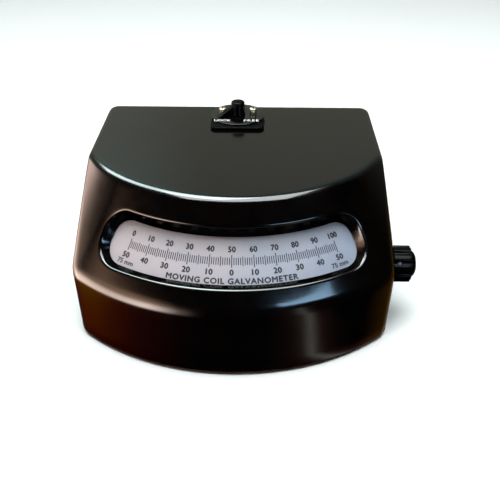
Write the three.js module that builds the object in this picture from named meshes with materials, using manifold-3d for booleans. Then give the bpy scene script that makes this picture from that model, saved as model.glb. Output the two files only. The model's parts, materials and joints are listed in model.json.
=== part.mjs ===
// A self-contained light-spot galvanometer: a moulded case with a curved translucent scale,
// a clamp knob on top, a zero knob on the right side and terminals at the back.
// Millimetres, +Z up, front towards -Y. All parts are laid out about the moving coil's
// vertical axis (x = 0, y = 0, table at z = 0); the last group shifts that to the base centre.
import * as THREE from 'three';
import { mergeVertices } from 'three/addons/utils/BufferGeometryUtils.js';
import Module from 'manifold-3d';

const wasm = await Module();
wasm.setup();

// ---------------------------------------------------------------- driving dimensions
const GAP = 0.3;                    // clearance between pieces that touch
const BASE_CENTRE = { x: 9, y: -48 };   // centre of the footprint, from the coil's axis

const CASE = {
  bottomZ: 3, ridgeZ: 53, topZ: 117,
  bottomHalfWidth: 113, ridgeHalfWidth: 116, topHalfWidth: 108,
  ridgeRadius: 160, topRadius: 118,   // front face, about the coil's axis
  backY: 46, wall: 4, edge: 8, rimEdge: 4, ridgeEdge: 20, backCorner: 8, frontCorner: 15,
};
const SLOPE = Math.atan2(CASE.topZ - CASE.ridgeZ, CASE.ridgeRadius - CASE.topRadius);
const SLOPE_CONE = { radius: 140, z: 83.5, tilt: SLOPE };
const WINDOW = { halfLength: 97.7, halfHeight: 19.8, corner: 17, draft: 0.364, cutDepth: 14, cutAbove: 3 };
const COLLAR = 3.3;                 // width of the rib around the window

const SCALE_CONE = { radius: 133.65, z: 77.4, tilt: THREE.MathUtils.degToRad(49.5) };
const SCALE = { halfAngle: THREE.MathUtils.degToRad(43), halfHeight: 19, thickness: 2 };
const CARRIER = { thickness: 2.3, border: 2.5, endBorder: 8, lipInner: 136, lipOuter: 147, lipBottom: 58,
  lipTop: 60.5, armHalf: 6, armFront: -134, armBack: -74, slotHalf: 2.4, slotReach: 7 };
const RAIL = { inner: 138, outer: 146, halfAngle: 0.52, thickness: 5.7, legAngle: 0.45, legHalf: 4,
  legThickness: 3, footReach: 11, footHeight: 2.5 };

const FLOOR = { z: 4, thickness: 2.5 };
const FLOOR_TOP = FLOOR.z + FLOOR.thickness + GAP;
const FOOT = { radius: 7.5, height: FLOOR.z - GAP, bore: 2.3, recess: 4.6, recessDepth: 2 };
const FOOT_PLACES = {
  front_left: [-94, -98], front_right: [94, -98], back_left: [-100, 33], back_right: [100, 33],
};
const BLOCK = { outward: 22, backward: 14, half: 8, top: 28, holeTop: 25 };   // moulded inside the case
const FOOT_SCREW = { headRadius: 4.2, head: 1.4, shankRadius: 2, length: 22 };

const LOCK = { y: 17.5, baseFront: -8.5, baseHalf: 21.1, baseCorner: 5, baseTop: 119.6, discTop: 121,
  discRadius: 21.7, screwX: 12.3, screwHole: 1.9, hubRadius: 5.4, hubTop: 132, wingReach: 18,
  wingHalf: 1.4, wingRoot: 7, wingTip: 0.8, wingAngle: -150, shaftRadius: 2.5, shaftBottom: 69,
  shaftTop: 128.5, camRadius: 3, camTop: 83 };
const LOCK_SCREW = { headRadius: 2.9, head: 4.9, shankRadius: 1.5, length: 18 };

const ZERO = { y: -86, z: 46, shaftRadius: 3, knobRadius: 13.5, knobStart: 116.6, barrelEnd: 129.6,
  knobEnd: 134, flutes: 10, fluteDepth: 1.5, bushStart: 108.8, nutX: 50, nutHalf: 6, nutReach: 7,
  bracketX: 22, bracketThickness: 3, bracketHalf: 8, bracketFoot: 16, journal: 2.5 };
const GRUB = { turn: THREE.MathUtils.degToRad(-33), along: 4, seat: 11.6, radius: 1.5,
  head: 0.8, shankRadius: 1.45, length: 5.5 };

const PANEL = { halfWidth: 62, z: 42, halfHeight: 25, y: 46.3, thickness: 3, openHalfWidth: 50,
  openHalfHeight: 16, screwX: 56, screwZ: 20.5, screwHole: 1.7 };
const PANEL_SCREW = { headRadius: 3, head: 2, shankRadius: 1.4, length: 11 };
const PANEL_FACE = PANEL.y + PANEL.thickness;
const TERMINAL = { studRadius: 2, collarRadius: 6.5, collar: 2, washerRadius: 5.8, washer: 1,
  capRadius: 7, capEnd: 64.2, innerEnd: 34 };
const TERMINAL_X = { black: -38, red: -19 };
const INLET = { x: 32, shroud: 11, bore: 9, end: 60, pinX: 5, pinRadius: 1.75, pinEnd: 57, back: 32 };

const COIL = { halfWidth: 8.8, wire: 2, halfDepth: 2, bottom: 28, top: 56 };
const CORE = { radius: 6, bottom: 31, top: 53 };
const POLE = { bore: 10, halfWidth: 28, depth: 12, tip: 3, bottom: 26.3, top: 54 };
const MAGNET = { front: POLE.depth + GAP, back: 26.3 };
const FRAME = { halfWidth: 29, column: 12, columnFront: 26.6, columnBack: 33, footTop: 10.8,
  shelfBottom: 22, shelfTop: 26, armBottom: 88, armTop: 92 };
const HANGER = { stem: 1, collar: 2.5, collarBottom: 69.7, top: 70.7 };
const MIRROR = { radius: 4.5, thickness: 1.1, z: 64 };
const CLAMP = { bottom: 71.3, thickness: 3, bossTop: 80.3, bossRadius: 6, tongue: 5, slot: 1.5 };

const LAMP = { radius: 9, wall: 1, start: 61, end: 111, rise: 0.107, standY: 86 };
const TRANSFORMER = { x: -74, y: 8, halfWidth: 24, halfHeight: 20, halfDepth: 9, leg: 8, window: 8,
  windowHalf: 12, coil: 17 };

// ---------------------------------------------------------------- materials
const FINISHES = {
  bakelite: { color: 0x0b0b0c, roughness: 0.22, metalness: 0 },
  knob_black: { color: 0x0c0c0d, roughness: 0.3, metalness: 0 },
  phenolic: { color: 0x2a1c14, roughness: 0.5, metalness: 0 },
  red_plastic: { color: 0xa01c18, roughness: 0.3, metalness: 0 },
  opal: { color: 0xdedbe6, roughness: 0.45, metalness: 0 },
  rubber: { color: 0x141414, roughness: 0.85, metalness: 0 },
  steel: { color: 0x8b8f92, roughness: 0.4, metalness: 1 },
  black_steel: { color: 0x1c1d1f, roughness: 0.5, metalness: 0.6 },
  brass: { color: 0xb8954a, roughness: 0.32, metalness: 1 },
  aluminium: { color: 0xaeb0b2, roughness: 0.45, metalness: 1 },
  magnet_grey: { color: 0x4a4c50, roughness: 0.6, metalness: 0.8 },
  copper: { color: 0xa8562c, roughness: 0.4, metalness: 1 },
  glass: { color: 0xdfe8ea, roughness: 0.05, metalness: 0 },
  varnished_wire: { color: 0x7a3a1a, roughness: 0.4, metalness: 0.2 },
};

// ---------------------------------------------------------------- solids from three.js geometry
function signedVolume(positions, index) {
  const [a, b, c] = [new THREE.Vector3(), new THREE.Vector3(), new THREE.Vector3()];
  let volume = 0;
  for (let i = 0; i < index.length; i += 3) {
    a.fromArray(positions, 3 * index[i]);
    b.fromArray(positions, 3 * index[i + 1]);
    c.fromArray(positions, 3 * index[i + 2]);
    volume += a.dot(b.cross(c)) / 6;
  }
  return volume;
}

function solid(geometry) {
  const bare = geometry.index ? geometry.toNonIndexed() : geometry.clone();
  bare.deleteAttribute('normal');
  bare.deleteAttribute('uv');
  const merged = mergeVertices(bare, 1e-4);
  const source = merged.index.array;
  const triangles = [];
  for (let i = 0; i < source.length; i += 3) {
    const [a, b, c] = [source[i], source[i + 1], source[i + 2]];
    if (a !== b && b !== c && c !== a) {
      triangles.push(a, b, c);
    }
  }
  const vertProperties = new Float32Array(merged.attributes.position.array);
  if (signedVolume(vertProperties, triangles) < 0) {
    triangles.reverse();
  }
  const triVerts = new Uint32Array(triangles);
  return new wasm.Manifold(new wasm.Mesh({ numProp: 3, vertProperties, triVerts }));
}

function geometryOf(body) {
  const mesh = body.getMesh();
  const geometry = new THREE.BufferGeometry();
  geometry.setAttribute('position', new THREE.BufferAttribute(mesh.vertProperties, 3));
  geometry.setIndex(new THREE.BufferAttribute(mesh.triVerts, 1));
  geometry.computeVertexNormals();
  return geometry;
}

function joined(...bodies) {
  return bodies.reduce((whole, body) => whole.add(body));
}

function cut(body, ...tools) {
  return tools.reduce((rest, tool) => rest.subtract(tool), body);
}

function box(x0, x1, y0, y1, z0, z1) {
  const geometry = new THREE.BoxGeometry(x1 - x0, y1 - y0, z1 - z0);
  return solid(geometry.translate((x0 + x1) / 2, (y0 + y1) / 2, (z0 + z1) / 2));
}

// A round bar along Z, standing at (x, y).
function bar(x, y, radius, z0, z1, sides = 16) {
  const geometry = new THREE.CylinderGeometry(radius, radius, z1 - z0, sides);
  return solid(geometry.rotateX(Math.PI / 2).translate(x, y, (z0 + z1) / 2));
}

// A round bar along Y, at (x, z).
function barY(x, z, radius, y0, y1, sides = 16) {
  const geometry = new THREE.CylinderGeometry(radius, radius, y1 - y0, sides);
  return solid(geometry.translate(x, (y0 + y1) / 2, z));
}

// A round bar along X, at (y, z).
function barX(y, z, radius, x0, x1, sides = 16) {
  const geometry = new THREE.CylinderGeometry(radius, radius, x1 - x0, sides);
  return solid(geometry.rotateZ(-Math.PI / 2).translate((x0 + x1) / 2, y, z));
}

// A body of revolution about Z from [radius, z] pairs.
function turned(profile, sides = 16) {
  const points = profile.map(([radius, z]) => new THREE.Vector2(radius, z));
  return solid(new THREE.LatheGeometry(points, sides).rotateX(Math.PI / 2));
}

// An outline in X and Y, given a thickness along Z.
function plate(points, z0, z1, steps = 1) {
  const shape = new THREE.Shape(points);
  const geometry = new THREE.ExtrudeGeometry(shape, { depth: z1 - z0, steps, bevelEnabled: false });
  return geometry.translate(0, 0, z0);
}

function arc(x, y, radius, from, to, count) {
  const points = [];
  for (let i = 0; i <= count; i += 1) {
    const angle = from + ((to - from) * i) / count;
    points.push(new THREE.Vector2(x + radius * Math.cos(angle), y + radius * Math.sin(angle)));
  }
  return points;
}

// A rectangle with round corners, centred on the origin.
function roundedOutline(halfLength, halfHeight, radius, steps = 3) {
  const [x, y, turn] = [halfLength - radius, halfHeight - radius, Math.PI / 2];
  return [
    ...arc(x, y, radius, 0, turn, steps),
    ...arc(-x, y, radius, turn, 2 * turn, steps),
    ...arc(-x, -y, radius, 2 * turn, 3 * turn, steps),
    ...arc(x, -y, radius, 3 * turn, 4 * turn, steps),
  ];
}

// A flat bar bent in plan about the coil's axis.
function arcBar(inner, outer, halfAngle, z0, z1, steps = 18) {
  const front = -Math.PI / 2;
  const points = [
    ...arc(0, 0, outer, front - halfAngle, front + halfAngle, steps),
    ...arc(0, 0, inner, front + halfAngle, front - halfAngle, steps),
  ];
  return solid(plate(points, z0, z1));
}

// A strip bent round a cone about Z. Stations are distances along its arc, rise(along) is half
// its height there, and inner(up) and outer(up) are its two faces, outwards from the cone.
// With a draft its edges lean, so that it is smaller the deeper it lies.
function bentStrip(cone, stations, rise, inner, outer, draft = 0) {
  const corners = [[-1, 0], [1, 0], [1, 1], [-1, 1]].map(([x, y]) => new THREE.Vector2(x, y));
  const last = stations.length - 1;
  const strip = plate(corners, 0, last, last);
  const place = strip.attributes.position;
  for (let i = 0; i < place.count; i += 1) {
    const station = stations[Math.round(place.getZ(i))];
    const flatUp = place.getX(i) * rise(station);
    const out = place.getY(i) > 0.5 ? outer(flatUp) : inner(flatUp);
    const up = flatUp * (1 + (out * draft) / rise(0));
    const along = station * (1 + (out * draft) / stations[last]);
    const radius = cone.radius - up * Math.cos(cone.tilt) + out * Math.sin(cone.tilt);
    const z = cone.z + up * Math.sin(cone.tilt) + out * Math.cos(cone.tilt);
    const angle = along / cone.radius;
    place.setXYZ(i, radius * Math.sin(angle), -radius * Math.cos(angle), z);
  }
  return solid(strip);
}

function evenStations(halfLength, count) {
  return Array.from({ length: count + 1 }, (unused, i) => halfLength * ((2 * i) / count - 1));
}

// Stations and heights of a strip whose ends are rounded.
function roundEnded(halfLength, halfHeight, radius, count, cornerSteps) {
  const straight = halfLength - radius;
  const turn = Math.PI / 2 / cornerSteps;
  const ends = [];
  for (let i = 1; i <= cornerSteps; i += 1) {
    ends.push(straight + radius * Math.sin(i * turn));
  }
  const starts = ends.map((along) => -along).reverse();
  const rise = (along) => {
    const past = Math.max(0, Math.abs(along) - straight);
    return halfHeight - radius + Math.sqrt(Math.max(0, radius ** 2 - past ** 2));
  };
  return { stations: [...starts, ...evenStations(straight, count), ...ends], rise };
}

// ---------------------------------------------------------------- the case's form
// Front radius of the case, inset by a wall, at height z. Both front edges are rounded.
function frontRadiusAt(z, inset) {
  const round = Math.max(CASE.edge - inset, 0.5);
  const ridgeRound = CASE.ridgeEdge - inset;
  const wallRadius = CASE.ridgeRadius - inset;
  const drop = (height, depth) =>
    CASE.topRadius + (CASE.topZ - height) / Math.tan(SLOPE) - (inset + depth) / Math.sin(SLOPE);
  const ridgeArcZ = ridgeStart();
  const topArcZ = CASE.topZ - inset - round;
  if (z <= ridgeArcZ) {
    return wallRadius;
  }
  if (z <= ridgeArcZ + ridgeRound * Math.cos(SLOPE)) {
    return wallRadius - ridgeRound + Math.sqrt(ridgeRound ** 2 - (z - ridgeArcZ) ** 2);
  }
  if (z < topArcZ + round * Math.cos(SLOPE)) {
    return drop(z, 0);
  }
  return drop(topArcZ, round) + Math.sqrt(Math.max(0, round ** 2 - (z - topArcZ) ** 2));
}

// Height at which the rounding of the front ridge begins.
function ridgeStart() {
  const reach = CASE.ridgeRadius - CASE.ridgeEdge - CASE.topRadius + CASE.ridgeEdge / Math.sin(SLOPE);
  return CASE.topZ - Math.tan(SLOPE) * reach;
}

// How far the rounded top edge of the sides and the back has pulled in at height z.
function topEdgeInset(z, inset) {
  const round = Math.max(CASE.rimEdge - inset, 0.5);
  const above = z - (CASE.topZ - inset - round);
  return above <= 0 ? 0 : round - Math.sqrt(Math.max(0, round ** 2 - above ** 2));
}

function halfWidthAt(z, inset) {
  const { lerp } = THREE.MathUtils;
  const low = (z - CASE.bottomZ) / (CASE.ridgeZ - CASE.bottomZ);
  const high = (z - CASE.ridgeZ) / (CASE.topZ - CASE.ridgeZ);
  const side = z < CASE.ridgeZ
    ? lerp(CASE.bottomHalfWidth, CASE.ridgeHalfWidth, low)
    : lerp(CASE.ridgeHalfWidth, CASE.topHalfWidth, high);
  return side - inset - topEdgeInset(z, inset);
}

// Plan outline: straight back, straight sides, round front, four rounded corners.
function planOutline(halfWidth, frontRadius, backY, backCorner, frontCorner) {
  const cornerX = halfWidth - frontCorner;
  const cornerY = -Math.sqrt((frontRadius - frontCorner) ** 2 - cornerX ** 2);
  const lean = Math.atan2(cornerY, cornerX);
  const backX = halfWidth - backCorner;
  const turn = Math.PI / 2;
  return [
    ...arc(backX, backY - backCorner, backCorner, 0, turn, 3),
    ...arc(-backX, backY - backCorner, backCorner, turn, 2 * turn, 3),
    ...arc(-cornerX, cornerY, frontCorner, -2 * turn, -2 * turn - lean, 2),
    ...arc(0, 0, frontRadius, -2 * turn - lean, lean, 22).slice(1, -1),
    ...arc(cornerX, cornerY, frontCorner, lean, 0, 2),
  ];
}

// The solid block that the case fills, inset by a wall and open downwards from bottomZ.
function caseBlock(inset, bottomZ, slopeSteps) {
  const round = Math.max(CASE.edge - inset, 0.5);
  const ridge = ridgeStart();
  const slopeFoot = ridge + (CASE.ridgeEdge - inset) * Math.cos(SLOPE);
  const topArc = CASE.topZ - inset - round;
  const levels = [bottomZ, ridge, (2 * ridge + slopeFoot) / 3, (ridge + 2 * slopeFoot) / 3, slopeFoot];
  for (let i = 1; i < slopeSteps; i += 1) {
    levels.push(THREE.MathUtils.lerp(slopeFoot, topArc, i / slopeSteps));
  }
  levels.push(topArc, topArc + 0.55 * round, topArc + 0.87 * round, topArc + round);

  const half = CASE.ridgeHalfWidth - inset;
  const front = CASE.ridgeRadius - inset;
  const back = CASE.backY - inset;
  const corners = [Math.max(CASE.backCorner - inset, 2), Math.max(CASE.frontCorner - inset, 2)];
  const outline = planOutline(half, front, back, ...corners);
  const body = plate(outline, 0, levels.length - 1, levels.length - 1);
  const place = body.attributes.position;
  for (let i = 0; i < place.count; i += 1) {
    const z = levels[Math.round(place.getZ(i))];
    const share = (back - place.getY(i)) / (back + Math.sqrt(front ** 2 - place.getX(i) ** 2));
    const x = (place.getX(i) * halfWidthAt(z, inset)) / half;
    const rear = back - topEdgeInset(z, inset);
    const y = rear - share * (rear + Math.sqrt(frontRadiusAt(z, inset) ** 2 - x ** 2));
    place.setXYZ(i, x, y, z);
  }
  return solid(body);
}

function windowCutter() {
  const { halfLength, halfHeight, corner } = WINDOW;
  const { stations, rise } = roundEnded(halfLength, halfHeight, corner, 18, 4);
  return bentStrip(SLOPE_CONE, stations, rise, () => -WINDOW.cutDepth, () => WINDOW.cutAbove,
    WINDOW.draft);
}

// Depth of the scale plate's face below the sloping front, at a distance up the slope.
function plateDepth(up) {
  const across = SLOPE_CONE.radius - SCALE_CONE.radius;
  const drop = SLOPE_CONE.z - SCALE_CONE.z;
  const depth = across * Math.sin(SLOPE) + drop * Math.cos(SLOPE);
  const mid = across * Math.cos(SLOPE) - drop * Math.sin(SLOPE);
  return depth + (up - mid) * Math.tan(SLOPE - SCALE_CONE.tilt);
}

// The rib around the window, from inside the wall down to just short of the scale plate.
function windowCollar() {
  const { stations, rise } = roundEnded(WINDOW.halfLength + COLLAR, WINDOW.halfHeight + COLLAR,
    WINDOW.corner + COLLAR, 18, 4);
  return bentStrip(SLOPE_CONE, stations, rise, (up) => 0.8 - plateDepth(up), () => -CASE.wall / 2);
}

function screwBlocks() {
  return Object.values(FOOT_PLACES).map(([x, y]) => {
    const outward = Math.sign(x);
    const ends = [x - outward * BLOCK.half, x + outward * BLOCK.outward];
    const backward = y > 0 ? BLOCK.backward : BLOCK.half;
    return box(Math.min(...ends), Math.max(...ends), y - BLOCK.half, y + backward,
      FLOOR_TOP, BLOCK.top);
  });
}

function caseShell() {
  const outside = caseBlock(0, CASE.bottomZ, 3);
  const inside = caseBlock(CASE.wall, CASE.bottomZ - 1, 2);
  const blocks = joined(...screwBlocks()).intersect(outside);
  const holes = Object.values(FOOT_PLACES).map(([x, y]) => bar(x, y, FOOT.bore, 0, BLOCK.holeTop));
  const { backY } = CASE;
  const panelHoles = panelCorners().map(([x, z]) =>
    barY(x, z, PANEL.screwHole, backY - 9, backY + 1, 12));
  const opening = box(-PANEL.openHalfWidth, PANEL.openHalfWidth, backY - 10, backY + 1,
    PANEL.z - PANEL.openHalfHeight, PANEL.z + PANEL.openHalfHeight);
  const topHoles = [
    bar(0, LOCK.y, 3.6, 108, 120),
    bar(-LOCK.screwX, LOCK.y, LOCK.screwHole, 108, 120, 12),
    bar(LOCK.screwX, LOCK.y, LOCK.screwHole, 108, 120, 12),
  ];
  const shaftHole = barX(ZERO.y, ZERO.z, 5.3, 105, 120);
  const hollow = outside.subtract(inside).add(blocks).add(windowCollar());
  return cut(hollow, windowCutter(), opening, shaftHole, ...holes, ...panelHoles, ...topHoles);
}

function panelCorners() {
  const signs = [[-1, -1], [1, -1], [-1, 1], [1, 1]];
  return signs.map(([x, z]) => [x * PANEL.screwX, PANEL.z + z * PANEL.screwZ]);
}

// ---------------------------------------------------------------- base and feet
function basePlate() {
  const inset = CASE.wall + GAP;
  const outline = planOutline(CASE.bottomHalfWidth - inset, CASE.ridgeRadius - inset,
    CASE.backY - inset, CASE.backCorner, CASE.frontCorner);
  const holes = Object.values(FOOT_PLACES).map(([x, y]) => bar(x, y, FOOT.bore, 0, 9));
  return cut(solid(plate(outline, FLOOR.z, FLOOR.z + FLOOR.thickness)), ...holes);
}

function foot() {
  return turned([
    [FOOT.recess, 0], [FOOT.radius - 1, 0], [FOOT.radius, 1], [FOOT.radius, FOOT.height],
    [FOOT.bore, FOOT.height], [FOOT.bore, FOOT.recessDepth], [FOOT.recess, FOOT.recessDepth],
    [FOOT.recess, 0],
  ]);
}

// A slotted screw standing head down: head from z = 0 to its height, then the shank.
function screw({ headRadius, head, shankRadius, length }, sides = 12) {
  const body = turned([[0, 0], [headRadius - 0.4, 0], [headRadius, 0.4], [headRadius, head],
    [shankRadius, head], [shankRadius, length], [0, length]], sides);
  return body.subtract(box(-0.5, 0.5, -headRadius, headRadius, -1, head * 0.4));
}

// ---------------------------------------------------------------- scale
function scalePlate() {
  const stations = evenStations(SCALE.halfAngle * SCALE_CONE.radius, 26);
  return bentStrip(SCALE_CONE, stations, () => SCALE.halfHeight, () => -SCALE.thickness, () => 0);
}

function scaleCarrier() {
  const half = SCALE.halfAngle * SCALE_CONE.radius;
  const face = -SCALE.thickness - GAP;
  const back = face - CARRIER.thickness;
  const sheet = bentStrip(SCALE_CONE, evenStations(half, 20), () => SCALE.halfHeight + CARRIER.border,
    () => back, () => face);
  const opening = bentStrip(SCALE_CONE, evenStations(half - CARRIER.endBorder, 20),
    () => SCALE.halfHeight - CARRIER.border, () => back - 2, () => face + 2);
  const frame = sheet.subtract(opening);
  const lip = arcBar(CARRIER.lipInner, CARRIER.lipOuter, SCALE.halfAngle, CARRIER.lipBottom,
    CARRIER.lipTop, 20);
  const { armHalf, armFront, armBack, slotHalf, slotReach, lipBottom, lipTop } = CARRIER;
  const x = ZERO.nutX;
  const arm = box(x - armHalf, x + armHalf, armFront, armBack, lipBottom, lipTop);
  const slot = box(x - slotHalf, x + slotHalf, ZERO.y - slotReach, ZERO.y + slotReach, 50, 70);
  return cut(joined(frame, lip, arm), slot);
}

function scaleRail() {
  const top = CARRIER.lipBottom - GAP;
  const track = arcBar(RAIL.inner, RAIL.outer, RAIL.halfAngle, top - RAIL.thickness, top, 14);
  const middle = (RAIL.inner + RAIL.outer) / 2;
  const legs = [-1, 1].map((side) => {
    const x = side * middle * Math.sin(RAIL.legAngle);
    const y = -middle * Math.cos(RAIL.legAngle);
    const [left, right, front] = [x - RAIL.legHalf, x + RAIL.legHalf, y - RAIL.legThickness / 2];
    return joined(
      box(left, right, front, front + RAIL.legThickness, FLOOR_TOP, top - 1),
      box(left, right, front, y + RAIL.footReach, FLOOR_TOP, FLOOR_TOP + RAIL.footHeight),
    );
  });
  return joined(track, ...legs);
}

// ---------------------------------------------------------------- zero adjustment
// Fluted knob along +X, its inner face at x = 0.
function zeroKnob() {
  const length = ZERO.barrelEnd - ZERO.knobStart;
  const steps = ZERO.flutes * 4;
  const outline = [];
  for (let i = 0; i < steps; i += 1) {
    const angle = (i / steps) * 2 * Math.PI;
    const wave = Math.max(0, -Math.cos(angle * ZERO.flutes));
    const radius = ZERO.knobRadius - ZERO.fluteDepth * wave;
    outline.push(new THREE.Vector2(radius * Math.cos(angle), radius * Math.sin(angle)));
  }
  const barrel = solid(plate(outline, 0, length));
  const end = ZERO.knobEnd - ZERO.knobStart;
  const dome = turned([[0, length - 1], [9.6, length - 1], [9.6, length + 1], [8.6, length + 2.8],
    [6, length + 4], [0, end]]);
  const bore = bar(0, 0, ZERO.shaftRadius + GAP, -1, length);
  const grub = barY(0, GRUB.along, GRUB.radius + GAP, -ZERO.knobRadius - 1, -ZERO.shaftRadius, 12);
  return cut(joined(barrel, dome), bore, grub);
}

function zeroScrew() {
  const start = ZERO.bracketX - 3;
  const length = ZERO.barrelEnd - start - 1;
  return turned([[0, 0], [ZERO.journal, 0], [ZERO.journal, 7], [ZERO.shaftRadius, 7],
    [ZERO.shaftRadius, length], [0, length]]);
}

// Flanged sleeve along +Z, flange first.
function zeroBush() {
  const bore = ZERO.shaftRadius + GAP;
  return turned([[bore, 0], [7.5, 0], [7.5, 1.8], [5, 1.8], [5, 7.3], [bore, 7.3], [bore, 0]]);
}

function zeroNut() {
  const { nutX: x, y, z, nutHalf: half, nutReach: reach } = ZERO;
  const body = joined(box(x - half, x + half, y - reach, y + reach, z - half, z + half),
    bar(x, y, 2, z + half - 1, z + 16));
  return body.subtract(barX(y, z, ZERO.shaftRadius + GAP, x - 8, x + 8));
}

function zeroBracket() {
  const { bracketX: x, y, z, bracketHalf: half, bracketThickness: thickness } = ZERO;
  const body = joined(box(x, x + thickness, y - half, y + half, FLOOR_TOP, z + 6),
    box(x, x + ZERO.bracketFoot, y - half, y + half, FLOOR_TOP, FLOOR_TOP + thickness));
  return body.subtract(barX(y, z, ZERO.journal + GAP, x - 2, x + 5));
}

// ---------------------------------------------------------------- clamp knob
// Thin plate with a square front and a round back, under a round disc.
function lockBase() {
  const { y, baseHalf, baseFront, baseCorner: corner, baseTop } = LOCK;
  const bottom = CASE.topZ + GAP;
  const [side, front, turn] = [baseHalf - corner, baseFront + corner, Math.PI / 2];
  const outline = [
    ...arc(0, y, baseHalf, 0, 2 * turn, 16),
    ...arc(-side, front, corner, 2 * turn, 3 * turn, 3),
    ...arc(side, front, corner, 3 * turn, 4 * turn, 3),
  ];
  const base = solid(plate(outline, bottom, baseTop));
  const disc = bar(0, y, LOCK.discRadius, bottom + 0.5, LOCK.discTop, 32);
  const holes = [-1, 1].map((end) => bar(end * LOCK.screwX, y, LOCK.screwHole, 110, 125, 12));
  return cut(joined(base, disc), bar(0, y, LOCK.shaftRadius + GAP, 110, 125), ...holes);
}

// Hub with a pointer wing, about its own axis, standing on z = 0.
function lockKnob() {
  const { hubRadius: radius, wingReach: reach, wingTip, wingRoot, wingHalf } = LOCK;
  const height = LOCK.hubTop - LOCK.discTop - GAP;
  const hub = turned([[0, 0], [radius + 0.6, 0], [radius, 1.2], [radius, height - 2.4],
    [radius - 1, height - 0.8], [radius - 2.6, height], [0, height]]);
  const side = [[0, 0], [reach, 0], [reach, wingTip], [radius, wingRoot], [0, wingRoot]];
  const outline = side.map(([x, y]) => new THREE.Vector2(x, y));
  const wing = solid(plate(outline, -wingHalf, wingHalf).rotateX(Math.PI / 2));
  return cut(joined(hub, wing), bar(0, 0, LOCK.shaftRadius + GAP, -1, height - 3));
}

function clampArm() {
  const top = CLAMP.bottom + CLAMP.thickness;
  const column = FRAME.column + GAP;
  const reach = column + 4;
  const tongue = box(-CLAMP.tongue, CLAMP.tongue, -4, 22, CLAMP.bottom, top);
  const bridge = box(-reach, reach, 20, FRAME.columnFront - GAP - 0.1, CLAMP.bottom, top);
  const prongs = [-1, 1].map((side) => {
    const ends = [side * column, side * reach];
    return box(Math.min(...ends), Math.max(...ends), 22, 32, CLAMP.bottom, top);
  });
  const boss = bar(0, LOCK.y, CLAMP.bossRadius, CLAMP.bottom, CLAMP.bossTop);
  const body = joined(tongue, bridge, boss, ...prongs);
  const slot = box(-CLAMP.slot, CLAMP.slot, -6, 2, CLAMP.bottom - 1, top + 1);
  return cut(body, slot, bar(0, LOCK.y, LOCK.camRadius + GAP, CLAMP.bottom - 1, CLAMP.bossTop + 1));
}

// Shaft with a thicker screw cam at its foot.
function lockShaft() {
  const { shaftBottom, shaftTop, shaftRadius, camRadius, camTop } = LOCK;
  return turned([[0, shaftBottom], [camRadius, shaftBottom], [camRadius, camTop],
    [shaftRadius, camTop], [shaftRadius, shaftTop], [0, shaftTop]]);
}

// ---------------------------------------------------------------- galvanometer movement
function galvoFrame() {
  const { halfWidth: w, column, columnFront: front, columnBack: back } = FRAME;
  const body = joined(
    box(-w, w, -14, back, FLOOR_TOP, FRAME.footTop),
    box(-w, w, -14, front, FRAME.shelfBottom, FRAME.shelfTop),
    box(-column, column, front, back, FLOOR_TOP, FRAME.armTop),
    box(-column, column, -8, back, FRAME.armBottom, FRAME.armTop),
    box(-w, -w + 4, -14, back - 4, FLOOR_TOP, FRAME.shelfTop),
    box(w - 4, w, -14, back - 4, FLOOR_TOP, FRAME.shelfTop),
  );
  return cut(body, bar(0, 0, 4, 20, 28), bar(0, 0, 2.8, 80, 95), bar(0, LOCK.y, 4, 80, 95));
}

function polePiece(side) {
  const ends = [side * POLE.halfWidth, side * POLE.tip];
  const block = box(Math.min(...ends), Math.max(...ends), -POLE.depth, POLE.depth, POLE.bottom,
    POLE.top);
  return block.subtract(bar(0, 0, POLE.bore, POLE.bottom - 1, POLE.top + 1, 32));
}

function movingCoil() {
  const { halfWidth, wire, halfDepth, bottom, top } = COIL;
  const outer = box(-halfWidth, halfWidth, -halfDepth, halfDepth, bottom, top);
  return outer.subtract(box(wire - halfWidth, halfWidth - wire, -5, 5, bottom + wire, top - wire));
}

function coilHanger() {
  const foot = COIL.top + GAP;
  return turned([[0, foot], [2, foot], [2, foot + 1.4], [HANGER.stem, foot + 1.4],
    [HANGER.stem, HANGER.collarBottom], [HANGER.collar, HANGER.collarBottom],
    [HANGER.collar, HANGER.top], [0, HANGER.top]], 12);
}

function upperAnchor() {
  const { armBottom, armTop } = FRAME;
  return turned([[0, armBottom - 4], [2.5, armBottom - 4], [2.5, armTop + GAP], [5, armTop + GAP],
    [5, armTop + 3], [0, armTop + 3]]);
}

function lowerAnchor() {
  const foot = FRAME.footTop + GAP;
  return turned([[0, foot], [6, foot], [6, foot + 1.5], [2, foot + 1.5], [2, foot + 6], [0, foot + 6]]);
}

// ---------------------------------------------------------------- lamp
// The lamp parts are laid out along +Z from the mirror and turned into place as a group.
function lampTube() {
  const inner = LAMP.radius - LAMP.wall;
  return turned([[inner, LAMP.start], [LAMP.radius, LAMP.start], [LAMP.radius, LAMP.end],
    [inner, LAMP.end], [inner, LAMP.start]], 20);
}

function condenserLens() {
  const radius = LAMP.radius - LAMP.wall - GAP;
  const middle = LAMP.start + 6;
  return turned([[0, middle - 3.4], [radius * 0.6, middle - 2.4], [radius, middle - 1],
    [radius, middle + 1], [radius * 0.6, middle + 2.4], [0, middle + 3.4]], 20);
}

function lampHolder() {
  const radius = LAMP.radius - LAMP.wall - GAP;
  const { end } = LAMP;
  return turned([[4.9, end - 8], [radius, end - 8], [radius, end + GAP], [LAMP.radius, end + GAP],
    [LAMP.radius, end + 4], [5.5, end + 4], [5.5, end + 11], [0, end + 11], [0, end + 2],
    [4.9, end + 2], [4.9, end - 8]]);
}

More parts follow.
